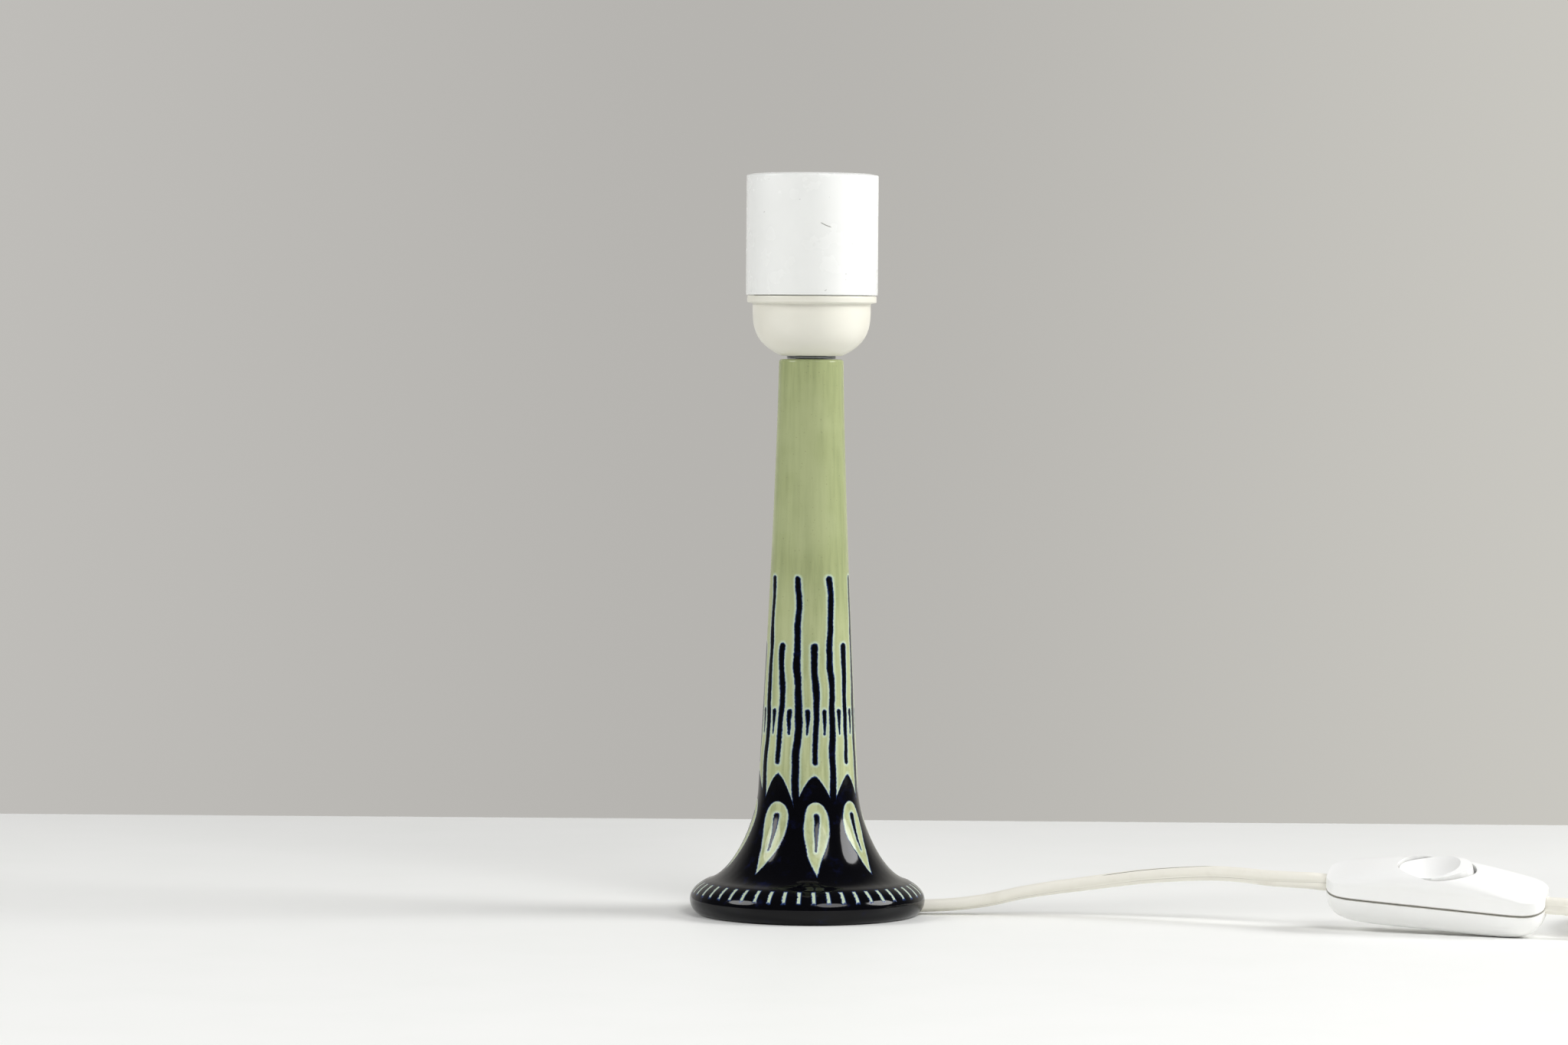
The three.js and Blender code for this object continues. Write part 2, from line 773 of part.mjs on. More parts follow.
function mirrored(shares) {
  return [...shares.slice(1).reverse().map((share) => -share), ...shares];
}

// Half of a rounded box outline, from one side to the other: shares of the half width and of the height
function archShares(power, steps) {
  const shares = [];
  for (let i = 0; i <= steps; i++) {
    const angle = (i / steps) * Math.PI;
    const across = Math.sign(Math.cos(angle)) * Math.abs(Math.cos(angle)) ** (2 / power);
    shares.push([across, Math.abs(Math.sin(angle)) ** (2 / power)]);
  }
  return shares;
}

// Upper half: side walls that lean in to a crease, and a broad crown that falls towards the ends
function switchUpper(inset, low) {
  const side = switchSide - inset / 2;
  const crown = switchCrown - inset / 2;
  const rings = mirrored(inset ? innerSectionShares : sectionShares).map((share) => {
    const x = share * (halfLength - inset);
    const wide = (halfWidth - inset) * planShare(share);
    const crease = (halfWidth - inset - switchDraft) * planShare(share);
    const arch = archShares(6, inset ? 8 : 12).map(([across, rise]) =>
      [x, crease * across, side + crown * crownShare(share) * rise]);
    return [[x, wide, low], ...arch, [x, -wide, low]];
  });
  return loft(rings);
}

// Lower half: a bowl with full sides that is rounded at its ends
function switchLower(inset, high) {
  const rings = mirrored(inset ? innerSectionShares : sectionShares).map((share) => {
    const x = share * (halfLength - inset);
    const wide = (halfWidth - inset) * planShare(share);
    const depth = (switchDepth - inset) * bowlShare(share) + high;
    return archShares(3.2, inset ? 8 : 12).map(([across, drop]) => [x, -wide * across, high - depth * drop]);
  });
  return loft(rings);
}

// The slot through both shells for the cord, which stands on edge
function entryHole(side) {
  const shape = new THREE.Shape();
  const round = entryWidth / 2;
  const straight = entryHeight / 2 - round;
  shape.moveTo(round, -straight);
  shape.lineTo(round, straight);
  shape.absarc(0, straight, round, 0, Math.PI);
  shape.lineTo(-round, -straight);
  shape.absarc(0, -straight, round, Math.PI, fullTurn);
  const depth = 2 * switchWall + 2 * overrun;
  const hole = new THREE.ExtrudeGeometry(shape, { depth, bevelEnabled: false, curveSegments: 5 });
  return alongX(hole).translate(side * (halfLength - switchWall) - depth / 2, 0, switchCordHeight);
}

const wellOval = (grow) => {
  const shape = new THREE.Shape();
  shape.absellipse(0, 0, wellLength / 2 + grow, wellWidth / 2 + grow, 0, fullTurn);
  return shape;
};

function ovalBar(grow, low, high) {
  const options = { depth: high - low, bevelEnabled: false, curveSegments: 11 };
  return new THREE.ExtrudeGeometry(wellOval(grow), options).translate(0, 0, low);
}

const seamHalf = turnedGap / 2;
const skirtLow = 1.5;
const coverTop = switchSide + switchCrown;
const axleReach = (wellWidth + wellWall) / 2;
const screwPlaces = [
  [20, -5.4],
  [-20, 5.4],
];
const screwRadius = 1.25;
const screwHead = 2.3;
const clampPlace = 26.5;
const clampLength = 4.4;
const clampSeat = -4.6;
const platformReach = 11.5;
const platformWidth = 7.2;
const platformTop = -3.75;

function switchCover() {
  const outer = solid(switchUpper(0, seamHalf));
  const inner = solid(switchUpper(switchWall, -overrun));
  const skirt = solid(ovalBar(wellWall, skirtLow, coverTop + overrun));
  let cover = outer.subtract(inner).add(skirt.intersect(outer));
  for (const [x, y] of screwPlaces) {
    const boss = rod([x, y, seamHalf], [x, y, coverTop], 2 * screwRadius);
    cover = cover.add(solid(boss).intersect(outer));
    const hole = rod([x, y, -overrun], [x, y, switchSide + overrun], screwRadius + seatGap);
    cover = cover.subtract(solid(hole));
  }
  for (const side of [-1, 1]) {
    const middle = side * clampPlace;
    const x = [middle - switchWall / 2, middle + switchWall / 2];
    const rib = block(x, [-halfWidth, halfWidth], [switchCordHeight + entryHeight / 2, coverTop]);
    cover = cover.add(solid(rib).intersect(outer));
    cover = cover.subtract(solid(entryHole(side)));
  }
  const axleEnd = axleReach + seatGap;
  const axleHole = [[0, -axleEnd, rockerAxleHeight], [0, axleEnd, rockerAxleHeight]];
  cover = cover.subtract(solid(ovalBar(0, skirtLow - overrun, coverTop + overrun)));
  cover = cover.subtract(solid(rod(...axleHole, rockerAxle + turnedGap)));
  return geometryOf(cover);
}

// Lower shell with the contact platform, the seats of the cord clamps and the screw holes
function switchBase() {
  const outer = solid(switchLower(0, -seamHalf));
  let base = outer.subtract(solid(switchLower(switchWall, overrun)));
  const half = platformWidth / 2;
  const parts = [block([-platformReach, platformReach], [-half, half], [-switchDepth, platformTop])];
  for (const side of [-1, 1]) {
    const middle = side * clampPlace;
    const x = [middle - clampLength / 2 - turnedGap, middle + clampLength / 2 + turnedGap];
    parts.push(block(x, [-halfWidth, halfWidth], [-switchDepth, clampSeat]));
  }
  for (const [x, y] of screwPlaces) {
    parts.push(rod([x, y, -switchDepth], [x, y, -seamHalf], 1.4 * screwHead));
  }
  for (const part of parts) base = base.add(solid(part).intersect(outer));
  for (const [x, y] of screwPlaces) {
    const low = -switchDepth - overrun;
    base = base.subtract(solid(rod([x, y, low], [x, y, overrun], screwRadius + seatGap)));
    base = base.subtract(solid(rod([x, y, low], [x, y, screwSink], screwHead + seatGap)));
  }
  for (const side of [-1, 1]) base = base.subtract(solid(entryHole(side)));
  return geometryOf(base);
}

const screwSink = -0.35 * switchDepth;

function switchScrew([x, y]) {
  const headTop = screwSink - seatGap;
  const headLow = headTop - 0.6 * screwHead;
  const head = rod([x, y, headLow], [x, y, headTop], screwHead);
  const shank = rod([x, y, headTop - seatGap], [x, y, switchSide], screwRadius);
  const half = screwHead / 7;
  const reach = 0.7 * screwHead;
  const z = [headLow - overrun, headLow + 0.3 * screwHead];
  const slots = [block([x - reach, x + reach], [y - half, y + half], z)];
  slots.push(block([x - half, x + half], [y - reach, y + reach], z));
  return joinedAndCut(head, [shank], slots);
}

// Rocker: an oval bar that narrows away from its axle, with a crowned and dished top, and a peg below
function switchRocker() {
  const low = skirtLow + 1.1;
  const proud = 1.3;
  const taper = 0.13;
  const dishBottom = coverTop - 2.2;
  const rings = [];
  for (const height of [low, rockerAxleHeight, coverTop + 2 * proud]) {
    const length = wellLength / 2 - rockerGap - taper * Math.abs(height - rockerAxleHeight);
    rings.push(switchRing(length, wellWidth / 2 - rockerGap, height));
  }
  const raised = switchUpper(0, seamHalf).translate(0, 0, proud);
  let rocker = solid(loft(rings)).intersect(solid(raised));
  const dishHeight = dishBottom + dishRadius;
  const dish = rod([0, -halfWidth, dishHeight], [0, halfWidth, dishHeight], dishRadius, 96);
  rocker = rocker.subtract(solid(dish));
  const axle = rod([0, -axleReach, rockerAxleHeight], [0, axleReach, rockerAxleHeight], rockerAxle);
  const peg = rod([0, 0, low + overrun], [0, 0, pegLow], rockerAxle, 12, rockerAxle / 2);
  const geometry = geometryOf(rocker.add(solid(axle)).add(solid(peg)));
  geometry.translate(0, 0, -rockerAxleHeight);
  return geometry.rotateY(rockerRest * degree).translate(0, 0, rockerAxleHeight);
}

const bridgePivot = -1;
const bridgeSheet = 0.5;
const bridgeRest = 3.6;
const bridgeReach = 8.5;
const buttonPlace = 7.6;
const buttonRadius = 1.2;
const pegLow = 0.35;
const stripLow = platformTop + turnedGap;

// See-saw that the rocker's peg tips over the pivot tab
function contactBridge() {
  const half = contactWidth / 2;
  const low = seatGap + turnedGap / 2;
  const plate = block([-bridgeReach, bridgeReach], [-half, half], [low, low + bridgeSheet]);
  const button = rod([buttonPlace, 0, low + bridgeSheet / 2], [buttonPlace, 0, low - bridgeSheet], buttonRadius);
  const ears = [-1, 1].map((side) => block(
    [-bridgeSheet * 3, bridgeSheet * 3],
    [side * half - bridgeSheet / 2, side * half + bridgeSheet / 2],
    [-bridgeSheet, low + bridgeSheet],
  ));
  const bridge = joinedAndCut(plate, [button, ...ears], []);
  return bridge.rotateY(bridgeRest * degree).translate(0, 0, bridgePivot);
}

// Fixed contacts: the first carries the see-saw on its tab, the second meets its button
function switchContact(side) {
  const half = contactWidth / 2 - bridgeSheet;
  const sheet = bridgeSheet;
  const strip = side < 0 ? [-platformReach + sheet, sheet] : [buttonPlace - 2, platformReach - sheet];
  const plate = block(strip, [-half, half], [stripLow, stripLow + sheet]);
  const end = side < 0 ? strip[0] : strip[1] - sheet;
  const tab = block([end, end + sheet], [-half, half], [stripLow, stripLow + 4 * sheet]);
  const rise = buttonHigh();
  const extra = side < 0
    ? block([-sheet / 2, sheet / 2], [-half, half], [stripLow, bridgePivot])
    : rod([buttonPlace, 0, stripLow + sheet / 2], [buttonPlace, 0, rise], buttonRadius);
  return joinedAndCut(plate, [tab, extra], []);
}

// Top of the fixed button, just under the see-saw's button at rest
function buttonHigh() {
  const drop = buttonPlace * Math.sin(bridgeRest * degree) + buttonRadius * Math.sin(bridgeRest * degree);
  return bridgePivot - bridgeSheet + turnedGap - drop - turnedGap;
}

function cordClamp(side) {
  const middle = side * clampPlace;
  const x = [middle - clampLength / 2, middle + clampLength / 2];
  const low = clampSeat + turnedGap;
  const body = block(x, [-cordWidth, cordWidth], [low, switchCordHeight + cordWidth / 3]);
  const slotHalf = entryWidth / 2;
  const slotLow = switchCordHeight - entryHeight / 2;
  const slot = block([x[0] - overrun, x[1] + overrun], [-slotHalf, slotHalf], [slotLow, coverTop]);
  return joinedAndCut(body, [], [slot]);
}

const sheathEnd = 22;
const cordOut = halfLength + 2 * turnedGap;

function cordStub(side) {
  const ends = [side * cordOut, side * sheathEnd].sort((a, b) => a - b);
  const points = [0, 1 / 3, 2 / 3, 1].map((share) => [
    ends[0] + share * (ends[1] - ends[0]),
    0,
    switchCordHeight,
  ]);
  return tube(cordSection(0), points, 3);
}

const coreOffset = coreRadius + seatGap / 3;

function neutralThrough() {
  const start = sheathEnd - turnedGap;
  const high = switchCordHeight + coreOffset;
  const points = [
    [-start, 0, high],
    [-start + 2.2, 0.1, high],
    [-15.5, 1.9, 0.2],
    [-12.3, 4.4, -1.2],
    [-7, 6.1, -2.7],
    [0, 6.1, -2.8],
    [7, 6.1, -2.7],
    [12.3, 5.2, -1.2],
    [16.5, 2.6, 0.1],
    [start - 2.2, 0.2, high],
    [start, 0, high],
  ];
  return tube(roundSection(coreRadius), points, 20);
}

function liveEnd(side) {
  const start = sheathEnd - turnedGap;
  const end = platformReach - bridgeSheet + turnedGap;
  const high = switchCordHeight - coreOffset;
  const low = stripLow + 3 * bridgeSheet;
  const points = [
    [side * start, 0, high],
    [side * (start - 2.2), 0, high],
    [side * (end + 3), -0.5, (high + low) / 2],
    [side * end, 0, low],
  ];
  return tube(roundSection(coreRadius), points, 8);
}

piece("switch_base", switchBase(), "whitePlastic", switchGroup);
piece("switch_cover", switchCover(), "whitePlastic", switchGroup);
piece("switch_rocker", switchRocker(), "whitePlastic", switchGroup);
piece("contact_bridge", contactBridge(), "nickel", switchGroup);
[-1, 1].forEach((side, i) => {
  piece("switch_contact_" + (i + 1), switchContact(side), "brass", switchGroup);
  piece("cord_clamp_" + (i + 1), cordClamp(side), "insulator", switchGroup);
  piece("switch_screw_" + (i + 1), switchScrew(screwPlaces[i]), "zinc", switchGroup);
});
piece("switch_cord_in", cordStub(-1), "cord", switchGroup);
piece("switch_cord_out", cordStub(1), "cord", switchGroup);
piece("switch_neutral_wire", neutralThrough(), "neutralCore", switchGroup);
piece("switch_live_in", liveEnd(-1), "liveCore", switchGroup);
piece("switch_live_out", liveEnd(1), "liveCore", switchGroup);

// The switch lies on the table on its lower shell
function settle() {
  switchGroup.rotation.copy(switchTurn);
  switchGroup.position.set(switchX, switchY, 0);
  switchGroup.updateMatrixWorld(true);
  const lowest = new THREE.Box3().setFromObject(switchGroup, true).min.z;
  switchGroup.position.z = -lowest + turnedGap / 10;
  switchGroup.updateMatrixWorld(true);
  lamp.add(switchGroup);
}

settle();
const switchPoint = (x) => new THREE.Vector3(x, 0, switchCordHeight).applyMatrix4(switchGroup.matrixWorld);

// Free cord between the foot and the switch: it springs up off the table between its two ends
const cordEntry = switchPoint(-cordOut - turnedGap).toArray();
const cordApproach = switchPoint(-cordOut - cordWidth).toArray();
const routeToSwitch = [
  [cordStart, 0, cordFloor],
  [cordStart + cordWidth, 0, cordFloor],
  [48, 0, 3.4],
  [58, -0.1, 4.8],
  [68, -0.6, 7.1],
  [78, -1.5, 9.4],
  [88, -2.9, 11.6],
  [98, -4.9, 13.5],
  [108, -7.7, 14.6],
  [118, -11.3, 15.4],
  [128, -15.6, 15.9],
  [137, -20, 15.8],
  [146, -24.8, 15.4],
  cordApproach,
  cordEntry,
];

piece("cord_to_switch", tube(cordSection(0), routeToSwitch, 18), "cord");

// Coil: the spiral runs in on the table and out again on top of itself
const coilStart = (switchYaw - 90) * degree;
const cordExit = switchPoint(cordOut + turnedGap);
const lean = Math.tan(switchYaw * degree);
const coilStartX = coilX + coilRadius * Math.cos(coilStart);
const coilY = cordExit.y + (coilStartX - cordExit.x) * lean - coilRadius * Math.sin(coilStart);

function coilPoint(turn) {
  const inward = Math.min(turn, coilTurnsIn);
  const outward = Math.max(0, turn - coilTurnsIn);
  const radius = coilRadius - coilPitch * (inward - outward);
  const climb = Math.min(1, Math.max(0, 2 * (turn - coilTurnsIn) + 1 / 2));
  const height = cordFloor + (coilLayer * (1 - Math.cos(Math.PI * climb))) / 2;
  const angle = coilStart + turn * fullTurn;
  return new THREE.Vector3(coilX + radius * Math.cos(angle), coilY + radius * Math.sin(angle), height);
}

function coilPath() {
  const count = Math.round(coilTurns * coilSteps);
  const points = [];
  for (let i = 0; i <= count; i++) points.push(coilPoint((i / count) * coilTurns));
  const lead = points[0].clone().sub(points[1]).setLength(cordWidth);
  const tail = points[count].clone().sub(points[count - 1]).setLength(cordWidth);
  points.unshift(points[0].clone().add(lead));
  points.push(points[count + 1].clone().add(tail));
  return points;
}

// Six points round the cord, which stands on edge
function coilRing(points, i) {
  const before = points[Math.max(0, i - 1)];
  const after = points[Math.min(points.length - 1, i + 1)];
  const along = after.clone().sub(before).normalize();
  const up = new THREE.Vector3(0, 0, 1);
  const side = along.clone().cross(up).normalize();
  const half = cordThickness / 2;
  const section = [
    [0, cordWidth / 2],
    [half, cordWidth / 5],
    [half, -cordWidth / 5],
    [0, -cordWidth / 2],
    [-half, -cordWidth / 5],
    [-half, cordWidth / 5],
  ];
  return section.map(([across, rise]) => {
    const point = points[i].clone().addScaledVector(side, across);
    return [point.x, point.y, point.z + rise];
  });
}

// Least distance between parts of the coil that are more than half a turn apart
function leastGap(rings) {
  let least = Infinity;
  const near = coilSteps / 2;
  for (let a = 0; a < rings.length; a++) {
    for (let b = a + near; b < rings.length; b++) {
      for (const p of rings[a]) {
        for (const q of rings[b]) {
          const distance = Math.hypot(p[0] - q[0], p[1] - q[1], p[2] - q[2]);
          if (distance < least) least = distance;
        }
      }
    }
  }
  return least;
}

const windingPoints = coilPath();
const windingRings = windingPoints.map((_, i) => coilRing(windingPoints, i));
console.log("least gap in the coil, mm: " + leastGap(windingRings).toFixed(2));
piece("cord_coil", loft(windingRings), "cord");

function coilLead(from, towards, gap) {
  const end = windingPoints.at(from);
  return end.clone().sub(windingPoints.at(towards)).setLength(gap).add(end).toArray();
}

const routeToCoil = [
  cordExit.toArray(),
  switchPoint(cordOut + 7).toArray(),
  [244.5, -58, 6.4],
  [253, -60.7, 3.7],
  coilLead(0, 1, cordThickness),
  coilLead(0, 1, turnedGap),
];

piece("cord_to_coil", tube(cordSection(0), routeToCoil, 6), "cord");

// Plug beside the coil, its pins towards +Y
const plugGroup = new THREE.Group();
const plugAxis = plugThickness / 2 + turnedGap / 6;
const coilEnd = windingPoints.at(-1);
const plugRun = 16;
const plugStart = [coilEnd.x, coilEnd.y + plugRun, plugAxis];

function plugRing(x, width, thickness, power, steps = 20) {
  const points = [];
  for (let i = 0; i < steps; i++) {
    const angle = (i / steps) * fullTurn;
    const across = Math.sign(Math.cos(angle)) * Math.abs(Math.cos(angle)) ** (2 / power);
    const rise = Math.sign(Math.sin(angle)) * Math.abs(Math.sin(angle)) ** (2 / power);
    points.push([x, (width / 2) * across, (thickness / 2) * rise]);
  }
  return points;
}

function plugBody() {
  const start = reliefLength + turnedGap;
  const neck = 10.5;
  const shares = [
    [0, neck / plugWidth, 0.72, 2],
    [0.08, 0.42, 0.8, 2.2],
    [0.25, plugGrip / plugWidth, 0.94, 2.6],
    [0.5, plugGrip / plugWidth, 0.98, 3],
    [0.68, 0.84, 1, 3],
    [0.84, 0.97, 1, 3],
    [0.97, 1, 1, 3],
    [1, 0.97, 0.94, 3],
  ];
  const rings = shares.map(([along, wide, thick, power]) =>
    plugRing(start + along * plugLength, wide * plugWidth, thick * plugThickness, power));
  const pinHoles = [-1, 1].map((side) => {
    const y = (side * pinSpacing) / 2;
    const face = start + plugLength;
    return rod([face - plugLength / 6, y, 0], [face + overrun, y, 0], pinRadius + seatGap);
  });
  return joinedAndCut(loft(rings), [], pinHoles);
}

// Tapered strain relief with grooves round it
function plugRelief() {
  const rings = [];
  const grooves = 4;
  const thin = 3.5;
  const thick = 4.8;
  const groove = 0.5;
  const radius = (share) => thin + (thick - thin) * share;
  for (let i = 0; i < grooves; i++) {
    for (const [share, drop] of [[0, groove], [0.18, 0], [0.72, 0], [0.9, groove]]) {
      const along = (i + share) / grooves;
      const size = 2 * (radius(along) - drop);
      rings.push(plugRing(along * reliefLength, size, size, 2, 10));
    }
  }
  rings.push(plugRing(reliefLength, 2 * thick, 2 * thick, 2, 10));
  return loft(rings);
}

function plugPin(side) {
  const y = (side * pinSpacing) / 2;
  const face = reliefLength + turnedGap + plugLength;
  const sleeve = face + pinLength / 2;
  const sizes = [
    [face - plugLength / 6 + turnedGap, pinRadius - seatGap],
    [sleeve, pinRadius - seatGap],
    [sleeve + seatGap, pinRadius],
    [face + pinLength - 1.2, pinRadius],
    [face + pinLength, pinRadius / 2],
  ];
  return loft(sizes.map(([x, radius]) => plugRing(x, 2 * radius, 2 * radius, 2, 12))).translate(0, y, 0);
}

piece("plug_relief", plugRelief(), "whitePlastic", plugGroup);
piece("plug_body", plugBody(), "whitePlastic", plugGroup);
piece("plug_pin_1", plugPin(-1), "nickel", plugGroup);
piece("plug_pin_2", plugPin(1), "nickel", plugGroup);
plugGroup.rotation.z = 90 * degree;
plugGroup.position.set(...plugStart);
lamp.add(plugGroup);

const routeToPlug = [
  coilLead(-1, -2, turnedGap),
  coilLead(-1, -2, cordThickness),
  [coilEnd.x + 0.1, coilEnd.y + plugRun / 2, (coilEnd.z + plugAxis) / 2],
  [coilEnd.x, coilEnd.y + plugRun - cordThickness, plugAxis],
  [coilEnd.x, coilEnd.y + plugRun - turnedGap, plugAxis],
];

piece("cord_to_plug", tube(cordSection(0), routeToPlug, 6), "cord");

export default lamp;
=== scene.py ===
# A glazed ceramic table lamp base with its lampholder, twin cord, in-line switch and plug.
import json
import math

import bmesh
import bpy
from mathutils import Matrix, Vector


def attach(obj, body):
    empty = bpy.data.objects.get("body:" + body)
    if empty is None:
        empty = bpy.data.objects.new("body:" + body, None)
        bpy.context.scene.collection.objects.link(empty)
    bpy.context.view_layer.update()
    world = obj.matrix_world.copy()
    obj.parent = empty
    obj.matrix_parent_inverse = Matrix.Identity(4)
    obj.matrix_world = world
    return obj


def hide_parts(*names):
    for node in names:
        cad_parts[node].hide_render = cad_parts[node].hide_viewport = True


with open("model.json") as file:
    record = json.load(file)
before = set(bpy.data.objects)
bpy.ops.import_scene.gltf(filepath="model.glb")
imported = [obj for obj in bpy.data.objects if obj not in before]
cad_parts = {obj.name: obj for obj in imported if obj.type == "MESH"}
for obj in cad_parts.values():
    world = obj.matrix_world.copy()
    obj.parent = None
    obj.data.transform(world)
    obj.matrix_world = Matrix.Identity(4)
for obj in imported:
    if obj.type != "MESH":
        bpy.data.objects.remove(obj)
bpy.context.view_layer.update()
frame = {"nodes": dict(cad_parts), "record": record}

MM = 0.001
FULL_TURN = 2 * math.pi
UP = Vector((0, 0, 1))
millimetres = Matrix.Scale(MM, 4)

# The camera of the photograph
camera_place = Vector((-8.32, -1700, 188))
camera_pitch = math.radians(2.121)
camera_roll = math.radians(0.424)
camera_lens = 122.45
sensor_width = 36

# Clearances
seat_gap = 0.15
turned_gap = 0.3
overrun = 1
weld_distance = 0.0001
node_weld = 0.001
node_rounding = 0.12

# Ceramic pot
body_height = 177.2
body_wall = 3.8
ring_inner = 30.4
ring_outer = 34.2
ring_chamfer = 0.4
rim_radius = 37.6
rim_height = 4.7
flare_start = (32.2, 10.8)
stem_foot = (15.95, 40)
neck_radius = 10.35
neck_rounding = 1
neck_floor = 6
neck_bore = 6.4
tube_hole = 5.35
ledge_bore = 10.3
ledge_height = 41.5
hollow_top = 7.2
notch_width = 5.8
notch_height = 5.8
underside_shares = (0.5, 0, 1, 0.51)
rim_shares = (0, 0.491, 0.61, 0.845)
flare_shares = (0.55, 0.072, 0.972, 0.686)
stem_shares = (0.266, 0.218, 0.856, 0.659)
rounding_shares = (0, 0.55, 0.45, 1)
edge_shares = (0.55, 0, 1, 0.45)

# Painted ornament: each stroke's lower and upper end, and its half widths there
petal_count = 8
petal_ends = (14.5, 37)
petal_width = 11.2
dark_top = 45.5
dark_dip = 9.5
rib_stroke = (22, 32.5, 0.3, 0.95)
tall_stroke = (30, 107.5, 1.3, 0.95)
short_stroke = (49.5, 86, 0.8, 1.2)
drop_stroke = (58.5, 65.5, 0.3, 0.85)
dash_count = 48
dash_half_width = 0.55
dash_place = (35.1, 9.5)
dash_reach = (1.8, 3)

# Lampholder
dome_bottom = 178.3
dome_height = 13.8
dome_wall = 1.8
dome_flat = 9.8
bowl_radius = 18.8
collar_radius = 20.6
collar_top = 19
collar_height = 2.2
collar_fillet = 0.6
collar_rounding = 0.4
spigot_radius = 18.5
spigot_wall = 1.5
spigot_height = 6.3
ledge_depth = 1.4
insert_rise = 1.2
boss_radius = 8.2
boss_height = 9
boss_hole = 5.2
grub_height = dome_bottom + 0.75 * boss_height
grub_radius = 1.7
bowl_shares = (0.834, 0.25, 0.989, 0.564)
inner_bowl_shares = (0.011, 0.436, 0.166, 0.75)
collar_fillet_shares = (0, 0.6, 0.3, 0.95)
holder_radius = 21
holder_height = 57.9
seam = 0.2
spigot_play = 0.5
hem_rounding = 0.35
shell_crown = 0.55
crown_inner = 17.3
crown_shares = (0.3, 0.55, 0.7, 1)
shoulder_rounding = 0.4
mouth_radius = 15
mouth_depth = 5
mouth_lead = 0.6
mouth_floor_sheet = 2.3
bore_radius = 14.2
bore_wall = 1.6
bore_bottom = 207
insert_top = 206.85
scratch_place = (4.2, 219.5)
scratch_slope = 0.45

# Round lamp thread
thread_pitch = 3.629
thread_major = 26.6
thread_minor = 24.4
thread_sheet = 0.35
thread_length = 18.5
thread_flange = 0.8
thread_fade_share = 1 / 6

# Flat twin cord
cord_width = 5.4
cord_thickness = 3.4
cord_start = 33.2
inner_cord_top = 191
inner_cord_bend = 22
inner_cord_spacing = 2
cord_floor = 2.8
cord_spacing = 1.2
cord_straight = 7

# In-line switch
switch_length = 68.6
switch_width = 21
switch_depth = 10.4
switch_side = 3.8
switch_draft = 1.2
switch_crown = 6.3
switch_wall = 1.6
switch_turn = (-17.5, 3.7, 21)
switch_place = (196.1, -42.8, 12.533)
switch_cord_height = -0.3
switch_seam = seat_gap
switch_end_share = 0.985
plan_power = 12
crown_fall = 1.4
bowl_power = 3.2
bowl_end_power = 7
bowl_end_fall = 0.45
switch_rounding = 0.22
well_length = 24.8
well_width = 16
well_wall = 1.2
skirt_low = 1.5
rocker_gap = 0.4
rocker_rest = -6
rocker_axle = 1.2
rocker_axle_height = 5
rocker_proud = 0.3
rocker_low = 2.6
rocker_draft = 0.13
rocker_rounding = 0.3
dish_place = (-2.5, 0, 21.9)
dish_radii = (16.9, 15, 15)
crown_power = 3
peg_low = 0.35
peg_share = 0.75
screw_places = ((20, -5.4), (-20, 5.4))
screw_radius = 1.25
screw_head = 2.3
screw_sink = 0.35
boss_share = 2
boss_rise = 2
pillar_share = 1.4
sheath_end = 22.3
cord_gap = 0.9
cord_out = switch_length / 2 + cord_gap

# Coil and plug
coil_radius = 39.6
coil_pitch = 3.9
coil_layer = 5.9
coil_turns = 7.32
coil_turns_in = 3.75
coil_x = 283.3
coil_steps = 48
plug_run = 16
plug_length = 36
plug_width = 35.3
plug_thickness = 13.7
plug_grip = 24
plug_neck = 10.5
plug_lift = 0.05
plug_rounding = 0.3
relief_length = 22
relief_radii = (3.5, 4.8)
relief_grooves = 6
groove_depth = 0.45
pin_length = 19
pin_radius = 2
pin_spacing = 18.6
pin_tip_shares = ((0.8, 1), (0.45, 0.94), (0.175, 0.78), (0, 0.4))

# Table and lamps, in metres and watts
table_place = (0, -0.838, -0.00005)
table_size = (4, 2.324, 1)
lamp_distance = 1.6
lamp_size = 0.75
lamp_aims = (((-0.77, -0.19, 0.54), 12), ((0.32, -0.65, 0.64), 10), ((0.82, -0.06, 0.52), 17))


# Modelling

def deselect():
    bpy.ops.object.select_all(action="DESELECT")


def editing(obj):
    """Opens obj, and nothing else, in edit mode and gives its mesh to work on."""
    deselect()
    obj.select_set(True)
    bpy.context.view_layer.objects.active = obj
    bpy.ops.object.mode_set(mode="EDIT")
    return bmesh.from_edit_mesh(obj.data)


def done(obj, name):
    """Leaves edit mode, with the normals outwards and the name set."""
    bpy.ops.mesh.select_all(action="SELECT")
    bpy.ops.mesh.normals_make_consistent(inside=False)
    bpy.ops.object.mode_set(mode="OBJECT")
    obj.name = name
    obj.data.name = name
    return obj


